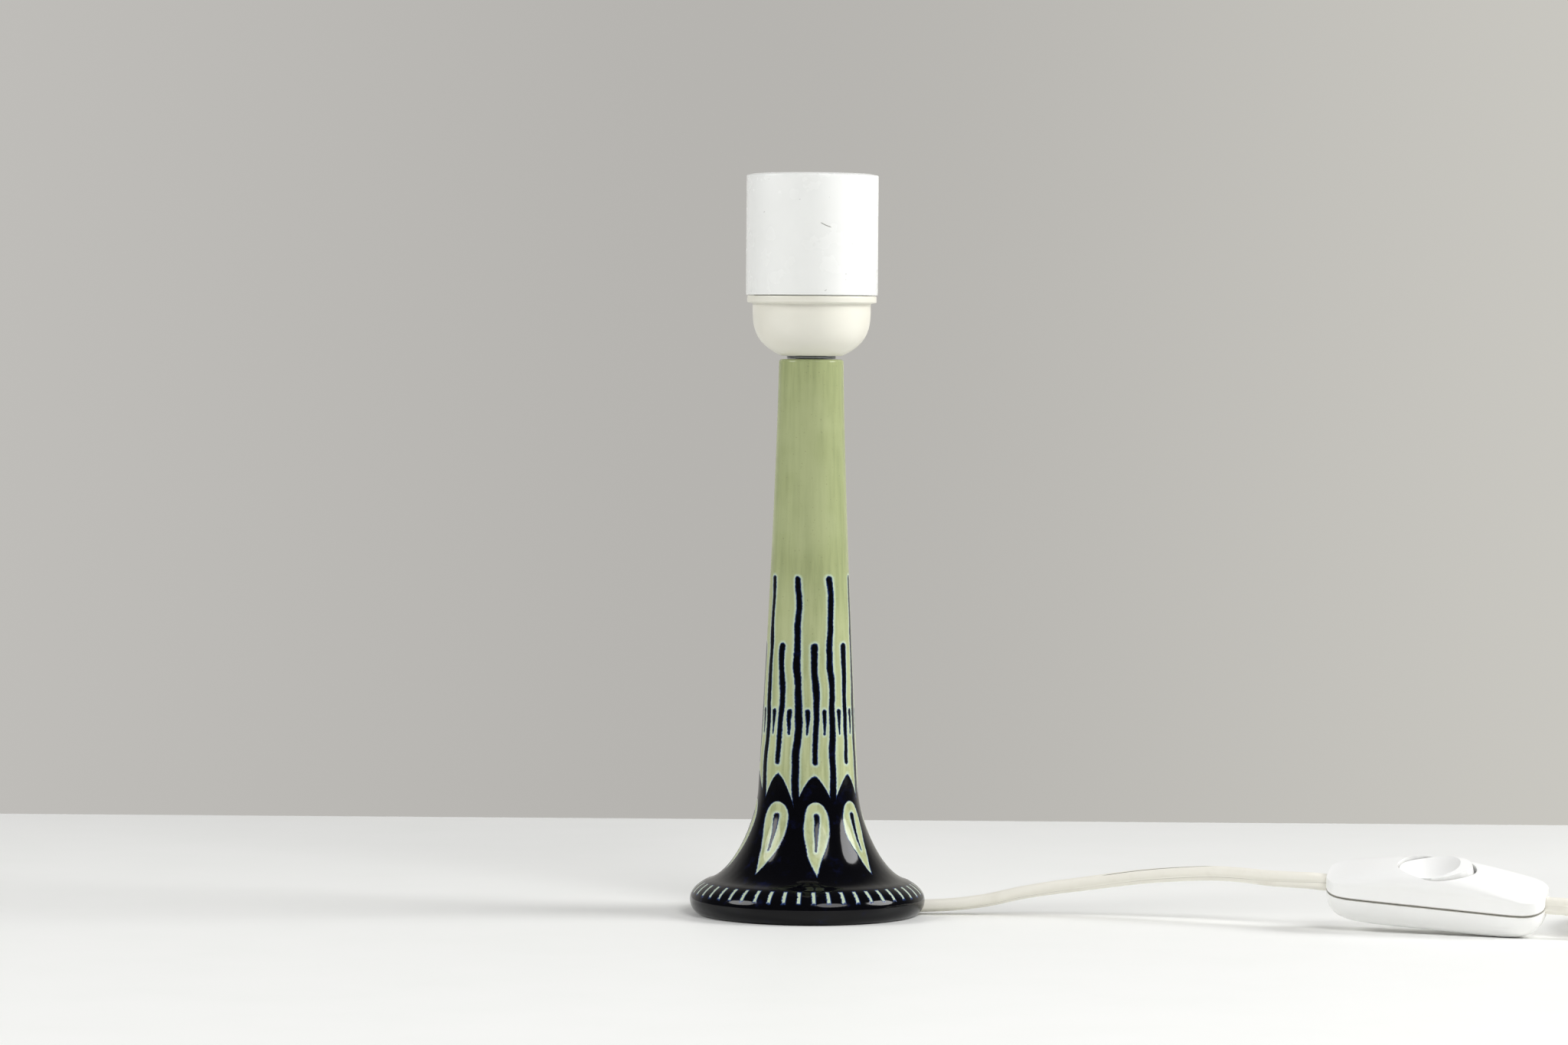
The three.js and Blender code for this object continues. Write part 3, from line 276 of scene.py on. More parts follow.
def lathe(name, profile, steps=128):
    """A profile of (radius, height) in millimetres, extruded point by point and spun round the Z axis."""
    deselect()
    bpy.ops.mesh.primitive_plane_add(size=1)
    obj = bpy.context.object
    mesh = editing(obj)
    corners = list(mesh.verts)
    bmesh.ops.delete(mesh, geom=corners[1:], context="VERTS")
    corners[0].co = (profile[0][0], 0, profile[0][1])
    corners[0].select = True
    bmesh.update_edit_mesh(obj.data)
    for (r0, z0), (r1, z1) in zip(profile, profile[1:]):
        bpy.ops.mesh.extrude_region_move(TRANSFORM_OT_translate={"value": (r1 - r0, 0, z1 - z0)})
    bpy.ops.mesh.select_all(action="SELECT")
    bpy.ops.mesh.spin(steps=steps, angle=FULL_TURN, center=(0, 0, 0), axis=(0, 0, 1))
    bpy.ops.mesh.select_all(action="SELECT")
    bpy.ops.mesh.remove_doubles(threshold=weld_distance)
    return done(obj, name)


def skin(name, rings, closed=False):
    """A grid bent over rings of points, closed round, with its ends capped or joined."""
    deselect()
    around = len(rings[0])
    along = len(rings)
    bpy.ops.mesh.primitive_grid_add(x_subdivisions=around, y_subdivisions=along - 1 + closed, size=1)
    obj = bpy.context.object
    rows = rings + rings[:1] if closed else rings
    places = [ring[i % around] for ring in rows for i in range(around + 1)]
    for vertex, place in zip(obj.data.vertices, places):
        vertex.co = place
    editing(obj)
    bpy.ops.mesh.select_all(action="SELECT")
    bpy.ops.mesh.remove_doubles(threshold=weld_distance)
    if not closed:
        bpy.ops.mesh.select_all(action="DESELECT")
        bpy.ops.mesh.select_non_manifold()
        bpy.ops.mesh.fill_holes(sides=0)
    return done(obj, name)


def bar(name, start, end, radius, steps=48):
    """A round rod between two points."""
    run = Vector(end) - Vector(start)
    deselect()
    bpy.ops.mesh.primitive_cylinder_add(vertices=steps, radius=radius, depth=run.length)
    obj = bpy.context.object
    turn = run.to_track_quat("Z", "Y").to_matrix().to_4x4()
    obj.data.transform(Matrix.Translation((Vector(start) + Vector(end)) / 2) @ turn)
    obj.name = name
    return obj


def apply_modifier(obj, kind, **settings):
    """Adds a modifier, with its settings, and applies it."""
    deselect()
    obj.select_set(True)
    bpy.context.view_layer.objects.active = obj
    modifier = obj.modifiers.new(kind.lower(), kind)
    for key, value in settings.items():
        setattr(modifier, key, value)
    bpy.ops.object.modifier_apply(modifier=modifier.name)
    return obj


def cut(obj, tool, operation="DIFFERENCE"):
    """Cuts or joins with another mesh, which is then removed."""
    apply_modifier(obj, "BOOLEAN", object=tool, operation=operation, solver="EXACT")
    bpy.data.objects.remove(tool)
    return obj


def soften(obj, width, angle, segments=3):
    """Rounds the edges that are sharper than an angle."""
    return apply_modifier(obj, "BEVEL", width=width, segments=segments, angle_limit=math.radians(angle))


def smooth(obj, angle=35):
    deselect()
    obj.select_set(True)
    bpy.context.view_layer.objects.active = obj
    bpy.ops.object.shade_smooth_by_angle(angle=math.radians(angle))
    return obj


def settle(obj, finish, body="root", matrix=millimetres, nodes=()):
    """Puts a finished piece in its place, in metres, with its material, body and nodes."""
    obj.data.transform(matrix)
    obj.data.update()
    obj.data.materials.clear()
    obj.data.materials.append(finish)
    smooth(obj)
    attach(obj, body)
    if nodes:
        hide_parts(*nodes)
    return obj


def curve_to(path, end, shares, steps=14):
    """Adds a cubic curve whose handles are shares of the box between its ends."""
    r0, z0 = path[-1]
    wide, tall = end[0] - r0, end[1] - z0
    near = (r0 + shares[0] * wide, z0 + shares[1] * tall)
    far = (r0 + shares[2] * wide, z0 + shares[3] * tall)
    for i in range(1, steps + 1):
        t = i / steps
        weights = ((1 - t) ** 3, 3 * t * (1 - t) ** 2, 3 * t * t * (1 - t), t ** 3)
        points = ((r0, z0), near, far, end)
        path.append(tuple(sum(w * p[k] for w, p in zip(weights, points)) for k in (0, 1)))


def spline(points, spacing):
    """A smooth line through the points, with places about one spacing apart."""
    knots = [Vector(p) for p in points]
    ends = [2 * knots[0] - knots[1]] + knots + [2 * knots[-1] - knots[-2]]
    line = []
    for a, b, c, d in zip(ends, ends[1:], ends[2:], ends[3:]):
        count = max(2, math.ceil((c - b).length / spacing))
        for i in range(count):
            t = i / count
            place = 2 * b + (c - a) * t + (2 * a - 5 * b + 4 * c - d) * t ** 2
            line.append((place + (3 * b - a - 3 * c + d) * t ** 3) / 2)
    return line + [knots[-1]]


def cord_section(count=14):
    """The outline of two cores side by side, (width, thickness) from its middle."""
    round_radius = cord_thickness / 2
    offset = (cord_width - cord_thickness) / 2
    reach = math.pi - math.acos(offset / round_radius)
    points = []
    for side in (1, -1):
        for i in range(count):
            angle = reach * (2 * (i + 0.5) / count - 1)
            wide = offset + round_radius * math.cos(angle)
            points.append((side * wide, side * round_radius * math.sin(angle)))
    return points


def cord_rings(line, roll, across=None):
    """Rings of the twin section along a line. roll gives, for a share of the line, its width's tilt."""
    rings = []
    section = cord_section()
    for i, place in enumerate(line):
        ahead = (line[min(i + 1, len(line) - 1)] - line[max(i - 1, 0)]).normalized()
        side = (across or ahead.cross(UP)).normalized()
        rise = side.cross(ahead)
        angle = roll(i / (len(line) - 1))
        width = side * math.cos(angle) + rise * math.sin(angle)
        thick = rise * math.cos(angle) - side * math.sin(angle)
        rings.append([place + width * w + thick * t for w, t in section])
    return rings


def blend_between(stops, share):
    """The value at a share of the way, between (share, value) stops."""
    for (s0, v0), (s1, v1) in zip(stops, stops[1:]):
        if share <= s1:
            t = max(0, (share - s0) / (s1 - s0))
            return v0 + (v1 - v0) * t * t * (3 - 2 * t)
    return stops[-1][1]


# Places of the switch and the coil

def switch_frame():
    yaw, pitch, roll = (math.radians(a) for a in switch_turn)
    turn = Matrix.Rotation(yaw, 4, "Z") @ Matrix.Rotation(pitch, 4, "Y") @ Matrix.Rotation(roll, 4, "X")
    return Matrix.Translation(switch_place) @ turn


in_switch = switch_frame()


def switch_point(x):
    return in_switch @ Vector((x, 0, switch_cord_height))


cord_exit = switch_point(cord_out)
coil_start = math.radians(switch_turn[0] - 90)
coil_lead_x = coil_x + coil_radius * math.cos(coil_start)
lean = math.tan(math.radians(switch_turn[0]))
coil_y = cord_exit.y + (coil_lead_x - cord_exit.x) * lean - coil_radius * math.sin(coil_start)


def coil_point(turn):
    """The spiral runs in on the table and out again on top of itself."""
    inward = min(turn, coil_turns_in)
    outward = max(0, turn - coil_turns_in)
    radius = coil_radius - coil_pitch * (inward - outward)
    climb = min(1, max(0, 2 * (turn - coil_turns_in) + 0.5))
    height = cord_floor + coil_layer * (1 - math.cos(math.pi * climb)) / 2
    angle = coil_start + turn * FULL_TURN
    return Vector((coil_x + radius * math.cos(angle), coil_y + radius * math.sin(angle), height))


# Materials

class Wire:
    """A socket whose maths is written as Python expressions. & is the lower value and | the higher."""

    def __init__(self, finish, socket):
        self.finish = finish
        self.socket = socket

    def _maths(self, operation, *values):
        return self.finish.node("ShaderNodeMath", {"operation": operation}, dict(enumerate(values)))

    def __add__(self, other):
        return self._maths("ADD", self, other)

    def __radd__(self, other):
        return self._maths("ADD", other, self)

    def __sub__(self, other):
        return self._maths("SUBTRACT", self, other)

    def __rsub__(self, other):
        return self._maths("SUBTRACT", other, self)

    def __mul__(self, other):
        return self._maths("MULTIPLY", self, other)

    def __rmul__(self, other):
        return self._maths("MULTIPLY", other, self)

    def __truediv__(self, other):
        return self._maths("DIVIDE", self, other)

    def __pow__(self, other):
        return self._maths("POWER", self, other)

    def __abs__(self):
        return self._maths("ABSOLUTE", self)

    def __mod__(self, other):
        return self._maths("FLOORED_MODULO", self, other)

    def __and__(self, other):
        return self._maths("MINIMUM", self, other)

    def __or__(self, other):
        return self._maths("MAXIMUM", self, other)


class Nodes:
    """A node tree whose shader has its sockets set, with places from one output of the coordinates."""

    def __init__(self, tree, shader, places):
        self.tree = tree
        self.shader = tree.nodes[shader]
        self.place = self.node("ShaderNodeTexCoord", output=places)

    def set(self, socket, value):
        if isinstance(value, Wire):
            self.tree.links.new(value.socket, self.shader.inputs[socket])
        else:
            self.shader.inputs[socket].default_value = value

    def node(self, kind, settings=None, inputs=None, output=0):
        """Any node: its settings first, then the values or links of its sockets."""
        made = self.tree.nodes.new(kind)
        for key, value in (settings or {}).items():
            setattr(made, key, value)
        for key, value in (inputs or {}).items():
            if isinstance(value, Wire):
                self.tree.links.new(value.socket, made.inputs[key])
            else:
                made.inputs[key].default_value = value
        return Wire(self, made.outputs[output])

    def axes(self, vector=None):
        split = self.node("ShaderNodeSeparateXYZ", inputs={0: vector or self.place})
        outputs = split.socket.node.outputs
        return [Wire(self, outputs[i]) for i in range(3)]

    def noise(self, scale, detail=3, roughness=0.5, stretch=None):
        """Noise of so many spots to a metre, about 0.5 in the middle."""
        vector = self.place
        if stretch:
            vector = self.node("ShaderNodeMapping", inputs={"Vector": vector, "Scale": stretch})
        inputs = {"Vector": vector, "Scale": scale, "Detail": detail, "Roughness": roughness}
        return self.node("ShaderNodeTexNoise", inputs=inputs)

    def step(self, value, low, high):
        """From 0 at low to 1 at high, smoothly."""
        inputs = {"Value": value, "From Min": low, "From Max": high}
        return self.node("ShaderNodeMapRange", {"interpolation_type": "SMOOTHSTEP"}, inputs)

    def mix(self, share, first, second):
        """A colour between two colours, each a wire or 0 to 255 values."""
        colours = [c if isinstance(c, Wire) else (*linear(c), 1) for c in (first, second)]
        inputs = {0: share, 6: colours[0], 7: colours[1]}
        return self.node("ShaderNodeMix", {"data_type": "RGBA"}, inputs, output=2)

    def bump(self, height, distance, strength=1, under=None):
        inputs = {"Height": height, "Distance": distance, "Strength": strength}
        if under:
            inputs["Normal"] = under
        return self.node("ShaderNodeBump", inputs=inputs)


class Finish(Nodes):
    """One node material, started from the values that are the same all over it."""

    def __init__(self, name, colour, roughness, metallic=0, **uniform):
        self.material = bpy.data.materials.new(name)
        self.material.use_nodes = True
        super().__init__(self.material.node_tree, "Principled BSDF", "Object")
        self.set("Base Color", (*linear(colour), 1))
        self.set("Roughness", roughness)
        self.set("Metallic", metallic)
        for key, value in uniform.items():
            self.set(key.replace("_", " ").title().replace("Ior", "IOR"), value)


def linear(colour):
    """Linear values of a colour that is given as 0 to 255."""
    return [(c / 255 / 12.92) if c < 10 else ((c / 255 + 0.055) / 1.055) ** 2.4 for c in colour]


def plastic(name, colour, shade, roughness, marks=None):
    """Moulded plastic: faint yellowing, fine orange peel, and marks of its own where it has some."""
    finish = Finish(name, colour, roughness)
    cloud = finish.noise(45, 3, 0.55)
    tone = finish.mix(finish.step(cloud, 0.35, 0.75) * 0.3, colour, shade)
    finish.set("Base Color", marks(finish, tone) if marks else tone)
    finish.set("Roughness", roughness + 0.05 * (finish.noise(120, 3) - 0.5))
    finish.set("Normal", finish.bump(finish.noise(320, 1), 0.00002, 0.12))
    return finish.material


def seam_painted_shade(finish, tone):
    """A dark line painted along the seam of the switch: painted shade of the gap between its shells."""
    normal = in_switch.to_3x3() @ UP
    offset = normal.dot(in_switch.translation) * MM
    factors = {0: finish.place, 1: normal}
    height = finish.node("ShaderNodeVectorMath", {"operation": "DOT_PRODUCT"}, factors, output=1)
    # Painted shade: a thin dark band within about half a millimetre of the seam plane
    near = finish.step(abs(height - offset) + 0.0002 * (finish.noise(300, 2) - 0.5), 0.00055, 0.0003)
    return finish.mix(0.75 * near, tone, (128, 124, 108))


def holder_marks(finish, tone):
    """A short dark scratch on the front of the shell, and a few specks."""
    x, y, z = finish.axes()
    along = x - scratch_place[0] * MM
    height = z - scratch_place[1] * MM
    line = abs(height + along * scratch_slope + 0.0006 * (finish.noise(500, 2) - 0.5))
    front = finish.step(y, 0, -0.001)
    scratch = finish.step(line, 0.00022, 0.00008) * finish.step(abs(along), 0.0019, 0.0012) * front
    speck = finish.step(finish.noise(620, 1), 0.76, 0.8)
    return finish.mix((0.85 * scratch) | (0.3 * speck), tone, (96, 92, 84))


def metal(name, colour, shade, roughness):
    """Plated or drawn metal with fine marks and a little tarnish."""
    finish = Finish(name, colour, roughness, metallic=1)
    tarnish = finish.step(finish.noise(320, 4, 0.65), 0.45, 0.75)
    finish.set("Base Color", finish.mix(0.7 * tarnish, colour, shade))
    marks = finish.noise(2600, 2)
    finish.set("Roughness", roughness + 0.22 * tarnish + 0.1 * (marks - 0.5))
    finish.set("Normal", finish.bump(marks, 0.00001, 0.5))
    return finish.material


def cord_sheath(name, top_lined=False):
    """Soft shiny sheath with random grime, painted shade in the grooves between its two cores, and a thin
    dark line along its top if asked.
    """
    finish = Finish(name, (236, 233, 222), 0.34)
    flow = finish.node("ShaderNodeTexCoord", output="UV")
    around, along = finish.axes(flow)[:2]
    groove = abs((around * 2.0 + 0.0357) % 1.0 - 0.5)
    # Painted shade in the grooves between the cores: a dark line whose strength varies in patches
    groove_shade_strength = finish.step(finish.noise(26, 2), 0.42, 0.62)
    line = finish.step(groove, 0.484, 0.497) * (0.15 + 0.6 * groove_shade_strength)
    grime = finish.step(finish.noise(140, 4, 0.6), 0.48, 0.8)
    if top_lined:
        # A thin dark line painted along the top of the cord over a short stretch
        crease = finish.step(abs(around - 0.258 - (along - 0.42) * 0.14), 0.014, 0.005)
        line = line | (crease * finish.step(abs(along - 0.54), 0.13, 0.1))
    tone = finish.mix(0.3 * grime, (243, 240, 229), (222, 217, 201))
    # The painted groove shade, and the top line where asked, darken the sheath here
    finish.set("Base Color", finish.mix(line, tone, (112, 108, 94)))
    finish.set("Roughness", 0.32 + 0.14 * (finish.noise(400, 2) - 0.5))
    finish.set("Normal", finish.bump(finish.noise(500, 2), 0.00005, 0.3))
    return finish.material


def glaze():
    """Painted glaze: a dark foot with pale petals, and single strokes that rise evenly round the stem."""
    finish = Finish("painted_glaze", (176, 184, 136), 0.09, specular_ior_level=0.22)
    x, y, z = finish.axes()
    angle = finish.node("ShaderNodeMath", {"operation": "ARCTAN2"}, {0: y, 1: x})
    radius = (x * x + y * y) ** 0.5
    sway = (finish.noise(42, 2) - 0.5) * 0.005
    fray = (finish.noise(1300, 3, 0.6) - 0.5) * 0.0007

    def across(count, phase, drift=sway):
        """The place in one of so many equal cells, -0.5 to 0.5, and its distance from the cell's middle."""
        cell = (angle * (count / FULL_TURN) + phase) % 1.0 - 0.5
        return cell, abs(cell * (FULL_TURN / count) * radius + drift)

    def stroke(side, sizes):
        """How far outside a tapered stroke with round ends."""
        low, high, wide, thin = (size * MM for size in sizes)
        share = (((z - low) / (high - low)) | 0.0) & 1.0
        past = ((low - z) | (z - high)) | 0.0
        return (side * side + past * past) ** 0.5 - (wide + (thin - wide) * share)

    cell, side = across(petal_count, 0.34)
    edge = dark_top * MM - dark_dip * MM * abs(2 * cell) ** 1.5 + sway
    foot = (z - edge) * 0.8
    low, high = (end * MM for end in petal_ends)
    rise = (((z - low) / (high - low)) | 0.0) & 1.0
    petal = side - petal_width * MM * rise * (1.0 - rise) ** 0.5
    petal = petal | ((low - z) | (z - high))
    dash = across(dash_count, 0.1, fray)[1] - dash_half_width * MM
    for place, middle, reach in zip((radius, z), dash_place, dash_reach):
        dash = dash | (abs(place - middle * MM) - reach * MM)
    gap = petal & dash
    painted = (foot | (gap * -1.0)) & stroke(side, rib_stroke)
    tall = stroke(across(petal_count, 0.84)[1], tall_stroke)
    short = stroke(side, short_stroke)
    drop = stroke(across(2 * petal_count, 0.68)[1], drop_stroke)
    distance = ((painted & tall) & (short & drop)) + fray

    streak = finish.noise(520, 4, 0.6, stretch=(1, 1, 0.07))
    cloud = finish.noise(38, 3)
    pale = finish.mix(finish.step(z, 0.05, 0.12), (184, 191, 146), (160, 168, 122))
    ground = finish.mix(0.8 * finish.step(streak, 0.36, 0.7), pale, (144, 153, 109))
    ground = finish.mix(0.4 * finish.step(cloud, 0.4, 0.66), ground, (182, 189, 146))
    speck = finish.step(finish.noise(1900, 1), 0.72, 0.78)
    ground = finish.mix(0.6 * speck, ground, (104, 104, 72))
    halo = finish.mix(0.75 * finish.step(distance, 0.0011, 0.0002), ground, (190, 208, 188))
    thin = finish.step(finish.noise(210, 4, 0.6), 0.56, 0.74)
    dark = finish.mix(0.5 * thin, (3, 3, 6), (14, 20, 54))
    rim = finish.mix(finish.step(distance, 0.00022, -0.00002), halo, (50, 72, 124))
    colour = finish.mix(finish.step(distance, 0.0001, -0.00032), rim, dark)
    raw = finish.node("ShaderNodeAttribute", {"attribute_name": "raw"}, output=2)
    clay = finish.mix(finish.step(finish.noise(700, 4), 0.4, 0.7), (213, 203, 184), (190, 178, 156))
    bare = finish.step(raw, 0.4, 0.6)
    finish.set("Base Color", finish.mix(bare, colour, clay))
    finish.set("Roughness", 0.08 + 0.05 * (streak - 0.5) + 0.62 * bare)
    ripple = finish.bump(finish.noise(95, 2, stretch=(1, 1, 0.5)), 0.0004, 0.5)
    proud = finish.bump(finish.step(distance, 0.0003, -0.0003), 0.00006, 0.6, under=ripple)
    finish.set("Normal", finish.bump(finish.noise(900, 3) * bare, 0.0002, 0.5, under=proud))
    return finish.material


cream_plastic = plastic("cream_plastic", (229, 227, 215), (221, 216, 198), 0.34)
white_plastic = plastic("white_plastic", (240, 241, 238), (234, 234, 228), 0.27)
shell_plastic = plastic("shell_plastic", (240, 241, 238), (234, 235, 231), 0.27, holder_marks)
# Switch plastic with a painted shade line along the seam between its shells
switch_plastic = plastic("switch_plastic", (247, 247, 245), (242, 242, 238), 0.3, seam_painted_shade)
zinc = metal("zinc_plate", (176, 178, 180), (120, 118, 112), 0.32)
brass = metal("brass_strip", (196, 160, 88), (140, 104, 60), 0.28)
nickel = metal("nickel_sheet", (204, 201, 192), (150, 144, 132), 0.22)
insulator = plastic("insulator", (220, 215, 198), (198, 190, 170), 0.5)
live_core = plastic("live_insulation", (110, 70, 38), (88, 54, 30), 0.42)
neutral_core = plastic("neutral_insulation", (46, 98, 168), (34, 76, 138), 0.42)
sheath = cord_sheath("cord_sheath")
# The sheath of the lamp cord, with a thin dark line painted along its top
top_lined_sheath = cord_sheath("cord_sheath_creased", top_lined=True)
painted = glaze()

slots = {
    "cream_plastic": cream_plastic,
    "white_plastic": white_plastic,
    "cord_white": sheath,
    "zinc": zinc,
    "brass": brass,
    "nickel": nickel,
    "insulator": insulator,
    "live_core": live_core,
    "neutral_core": neutral_core,
    "ceramic_glaze": painted,
}


# Camera and cords come first

def set_camera():
    turn = Matrix.Rotation(math.pi / 2 - camera_pitch, 4, "X") @ Matrix.Rotation(camera_roll, 4, "Z")
    bpy.ops.object.camera_add()
    camera = bpy.context.object
    camera.data.lens = camera_lens
    camera.data.sensor_width = sensor_width
    camera.matrix_world = Matrix.Translation(camera_place * MM) @ turn
    bpy.context.scene.camera = camera


def length_of(line):
    return sum((b - a).length for a, b in zip(line, line[1:]))


def in_metres(line):
    return [tuple(p * MM) for p in line]


route_to_switch = [
    (cord_start, 0, cord_floor),
    (cord_start + cord_width, 0, cord_floor),
    (48, 0, 3.4),
    (58, -0.1, 4.8),
    (68, -0.6, 7.1),
    (78, -1.5, 8.9),
    (88, -2.9, 10.4),
    (98, -4.9, 12),
    (108, -7.7, 13.5),
    (118, -11.3, 14.6),
    (128, -15.6, 15.4),
    (137, -20, 15.4),
    (146, -24.8, 14.9),
    switch_point(-cord_out - cord_width),
    switch_point(-cord_out),
    switch_point(-sheath_end),
]


def lamp_cord():
    """From the foot to the switch it springs clear of the table, and turns up onto its edge."""
    line = spline(route_to_switch, cord_spacing)
    rolls = [(0, 24), (0.2, 28), (0.5, 42), (0.7, 46), (0.85, 66), (0.93, 90), (1, 90)]
    rings = cord_rings(line, lambda share: math.radians(blend_between(rolls, share)))
    nodes = ["cord_to_switch", "switch_cord_in"]
    cord = settle(skin("lamp_cord", rings), top_lined_sheath, nodes=nodes)
    return cord, line


def mains_cord():
    """From the switch to the coil that the photograph doesn't reach, and to the plug beside it."""
    count = round(coil_turns * coil_steps)
    winding = [coil_point(coil_turns * i / count) for i in range(count + 1)]
    lead = winding[0] + (winding[0] - winding[1]).normalized() * cord_width
    tail = winding[-1] + (winding[-1] - winding[-2]).normalized() * cord_width
    plug_axis = plug_thickness / 2 + plug_lift
    before = [
        switch_point(sheath_end),
        cord_exit,
        switch_point(cord_out + cord_straight),
        Vector((244.5, -58, 6.4)),
        Vector((253, -60.7, 3.7)),
        lead,
    ]
    plug_end = Vector((tail.x, tail.y + plug_run, plug_axis))
    after = [
        tail,
        Vector((tail.x + 0.1, tail.y + plug_run / 2, (tail.z + plug_axis) / 2)),
        plug_end - Vector((0, cord_thickness, 0)),
        plug_end + Vector((0, overrun, 0)),
    ]
    line = spline(before, cord_spacing)[:-1] + winding + spline(after, cord_spacing)
    rings = cord_rings(line, lambda share: math.pi / 2)
    nodes = ["cord_to_coil", "cord_coil", "cord_to_plug", "switch_cord_out"]
    cord = settle(skin("mains_cord", rings), sheath, nodes=nodes)
    return cord, line, plug_end


set_camera()
first_cord, first_line = lamp_cord()
second_cord, second_line, plug_start = mains_cord()


# Ceramic pot

def flare_inside(steps):
    """The flare's inner wall, from the top down, one wall inside the outer curve."""
    outer = [flare_start]
    curve_to(outer, stem_foot, flare_shares, steps)
    inner = []
    for (r0, z0), (r1, z1) in zip(outer, outer[1:]):
        run = math.hypot(r1 - r0, z1 - z0)
        r = (r0 + r1) / 2 - body_wall * (z1 - z0) / run
        z = (z0 + z1) / 2 + body_wall * (r1 - r0) / run
        if r < ring_inner and z > hollow_top:
            inner.append((r, z))
    return inner[::-1]


def ceramic_pot():
    path = [(ring_inner, ring_chamfer), (ring_inner + ring_chamfer, 0), (ring_outer, 0)]
    curve_to(path, (rim_radius, rim_height), underside_shares)
    curve_to(path, flare_start, rim_shares)
    curve_to(path, stem_foot, flare_shares, 24)
    curve_to(path, (neck_radius, body_height - neck_rounding), stem_shares, 32)
    curve_to(path, (neck_radius - neck_rounding, body_height), rounding_shares, 6)
    path += [
        (tube_hole, body_height),
        (tube_hole, body_height - neck_floor),
        (neck_bore, body_height - neck_floor),
        (ledge_bore, ledge_height),
        (stem_foot[0] - body_wall, ledge_height),
    ]
    path += flare_inside(14)
    path += [(ring_inner, hollow_top), path[0]]
    pot = cut(lathe("ceramic_pot", path, 160), cord_notch())
    raw = pot.data.attributes.new("raw", "FLOAT", "POINT")
    for vertex in pot.data.vertices:
        raw.data[vertex.index].value = is_raw(vertex.co, vertex.normal)
    return settle(pot, painted, nodes=["ceramic_body"])


def is_raw(place, facing):
    """Whether the clay is bare: under the ring, on the inner walls and on what faces down inside."""
    radius = place.xy.length
    outwards = facing.xy.dot(place.xy) / max(1, radius)
    under = place.z < ring_chamfer and radius < ring_outer + seat_gap
    ceiling = radius < ring_inner and facing.z < -0.5
    return under or outwards < -0.3 or ceiling


def cord_notch():
    """The mouse hole for the cord, towards +X."""
    half = notch_width / 2
    middle = notch_height - half
    deep = ring_inner - body_wall
    out = rim_radius + overrun
    hole = bar("notch", (deep, 0, middle), (out, 0, middle), half, 32)
    deselect()
    bpy.ops.mesh.primitive_cube_add(size=1)
    slot = bpy.context.object
    place = Matrix.Translation(((deep + out) / 2, 0, (middle - overrun) / 2))
    slot.data.transform(place @ Matrix.Diagonal((out - deep, notch_width, middle + overrun, 1)))
    return cut(hole, slot, "UNION")


# Lampholder

def holder_dome():
    top = dome_bottom + dome_height
    floor = dome_bottom + dome_wall
    collar_high = dome_bottom + collar_top
    collar_low = collar_high - collar_height
    seat = collar_high + insert_rise
    spigot_inner = spigot_radius - spigot_wall
    inner_top = bowl_radius - dome_wall
    path = [(boss_hole, dome_bottom), (dome_flat, dome_bottom)]
    curve_to(path, (bowl_radius, top), bowl_shares, 24)
    path += [(bowl_radius, collar_low - collar_fillet)]
    curve_to(path, (collar_radius - collar_rounding, collar_low), collar_fillet_shares, 6)
    curve_to(path, (collar_radius, collar_low + collar_rounding), edge_shares, 5)
    path += [(collar_radius, collar_high - collar_rounding)]
    curve_to(path, (collar_radius - collar_rounding, collar_high), rounding_shares, 5)
    path += [
        (spigot_radius, collar_high),
        (spigot_radius, collar_high + spigot_height),
        (spigot_inner, collar_high + spigot_height),
        (spigot_inner, seat),
        (spigot_inner - ledge_depth, seat),
        (spigot_inner - ledge_depth, seat - ledge_depth),
        (inner_top, seat - 2 * ledge_depth),
        (inner_top, top),
    ]
    curve_to(path, (dome_flat, floor), inner_bowl_shares)
    path += [
        (boss_radius, floor),
        (boss_radius, dome_bottom + boss_height),
        (boss_hole, dome_bottom + boss_height),
        (boss_hole, dome_bottom),
    ]
    start = (0, boss_hole - overrun, grub_height)
    grub = bar("grub_hole", start, (0, boss_radius + overrun, grub_height), grub_radius, 24)
    dome = cut(lathe("lampholder_dome", path), grub)
    return settle(dome, cream_plastic, nodes=["holder_dome"])


def holder_shell():
    bottom = dome_bottom + collar_top + seam
    crown = dome_bottom + holder_height
    top = crown - shell_crown
    mouth_floor = crown - mouth_depth
    wall_inner = spigot_radius + spigot_play
    roof = mouth_floor + mouth_floor_sheet
    path = [(wall_inner, bottom), (holder_radius - hem_rounding, bottom)]
    curve_to(path, (holder_radius, bottom + hem_rounding), rounding_shares[::-1], 5)
    path += [(holder_radius, top - shoulder_rounding)]
    curve_to(path, (holder_radius - shoulder_rounding, top), rounding_shares, 6)
    curve_to(path, (crown_inner, crown), crown_shares, 12)
    path += [(mouth_radius + mouth_lead, crown)]
    curve_to(path, (mouth_radius, crown - mouth_lead), edge_shares, 8)
    path += [
        (mouth_radius, mouth_floor),
        (bore_radius, mouth_floor),
        (bore_radius, bore_bottom),
        (bore_radius + bore_wall, bore_bottom),
        (bore_radius + bore_wall, roof),
        (wall_inner, roof),
        (wall_inner, bottom),
    ]
    shell = lathe("lampholder_shell", path)
    return settle(shell, shell_plastic, nodes=["holder_shell"])


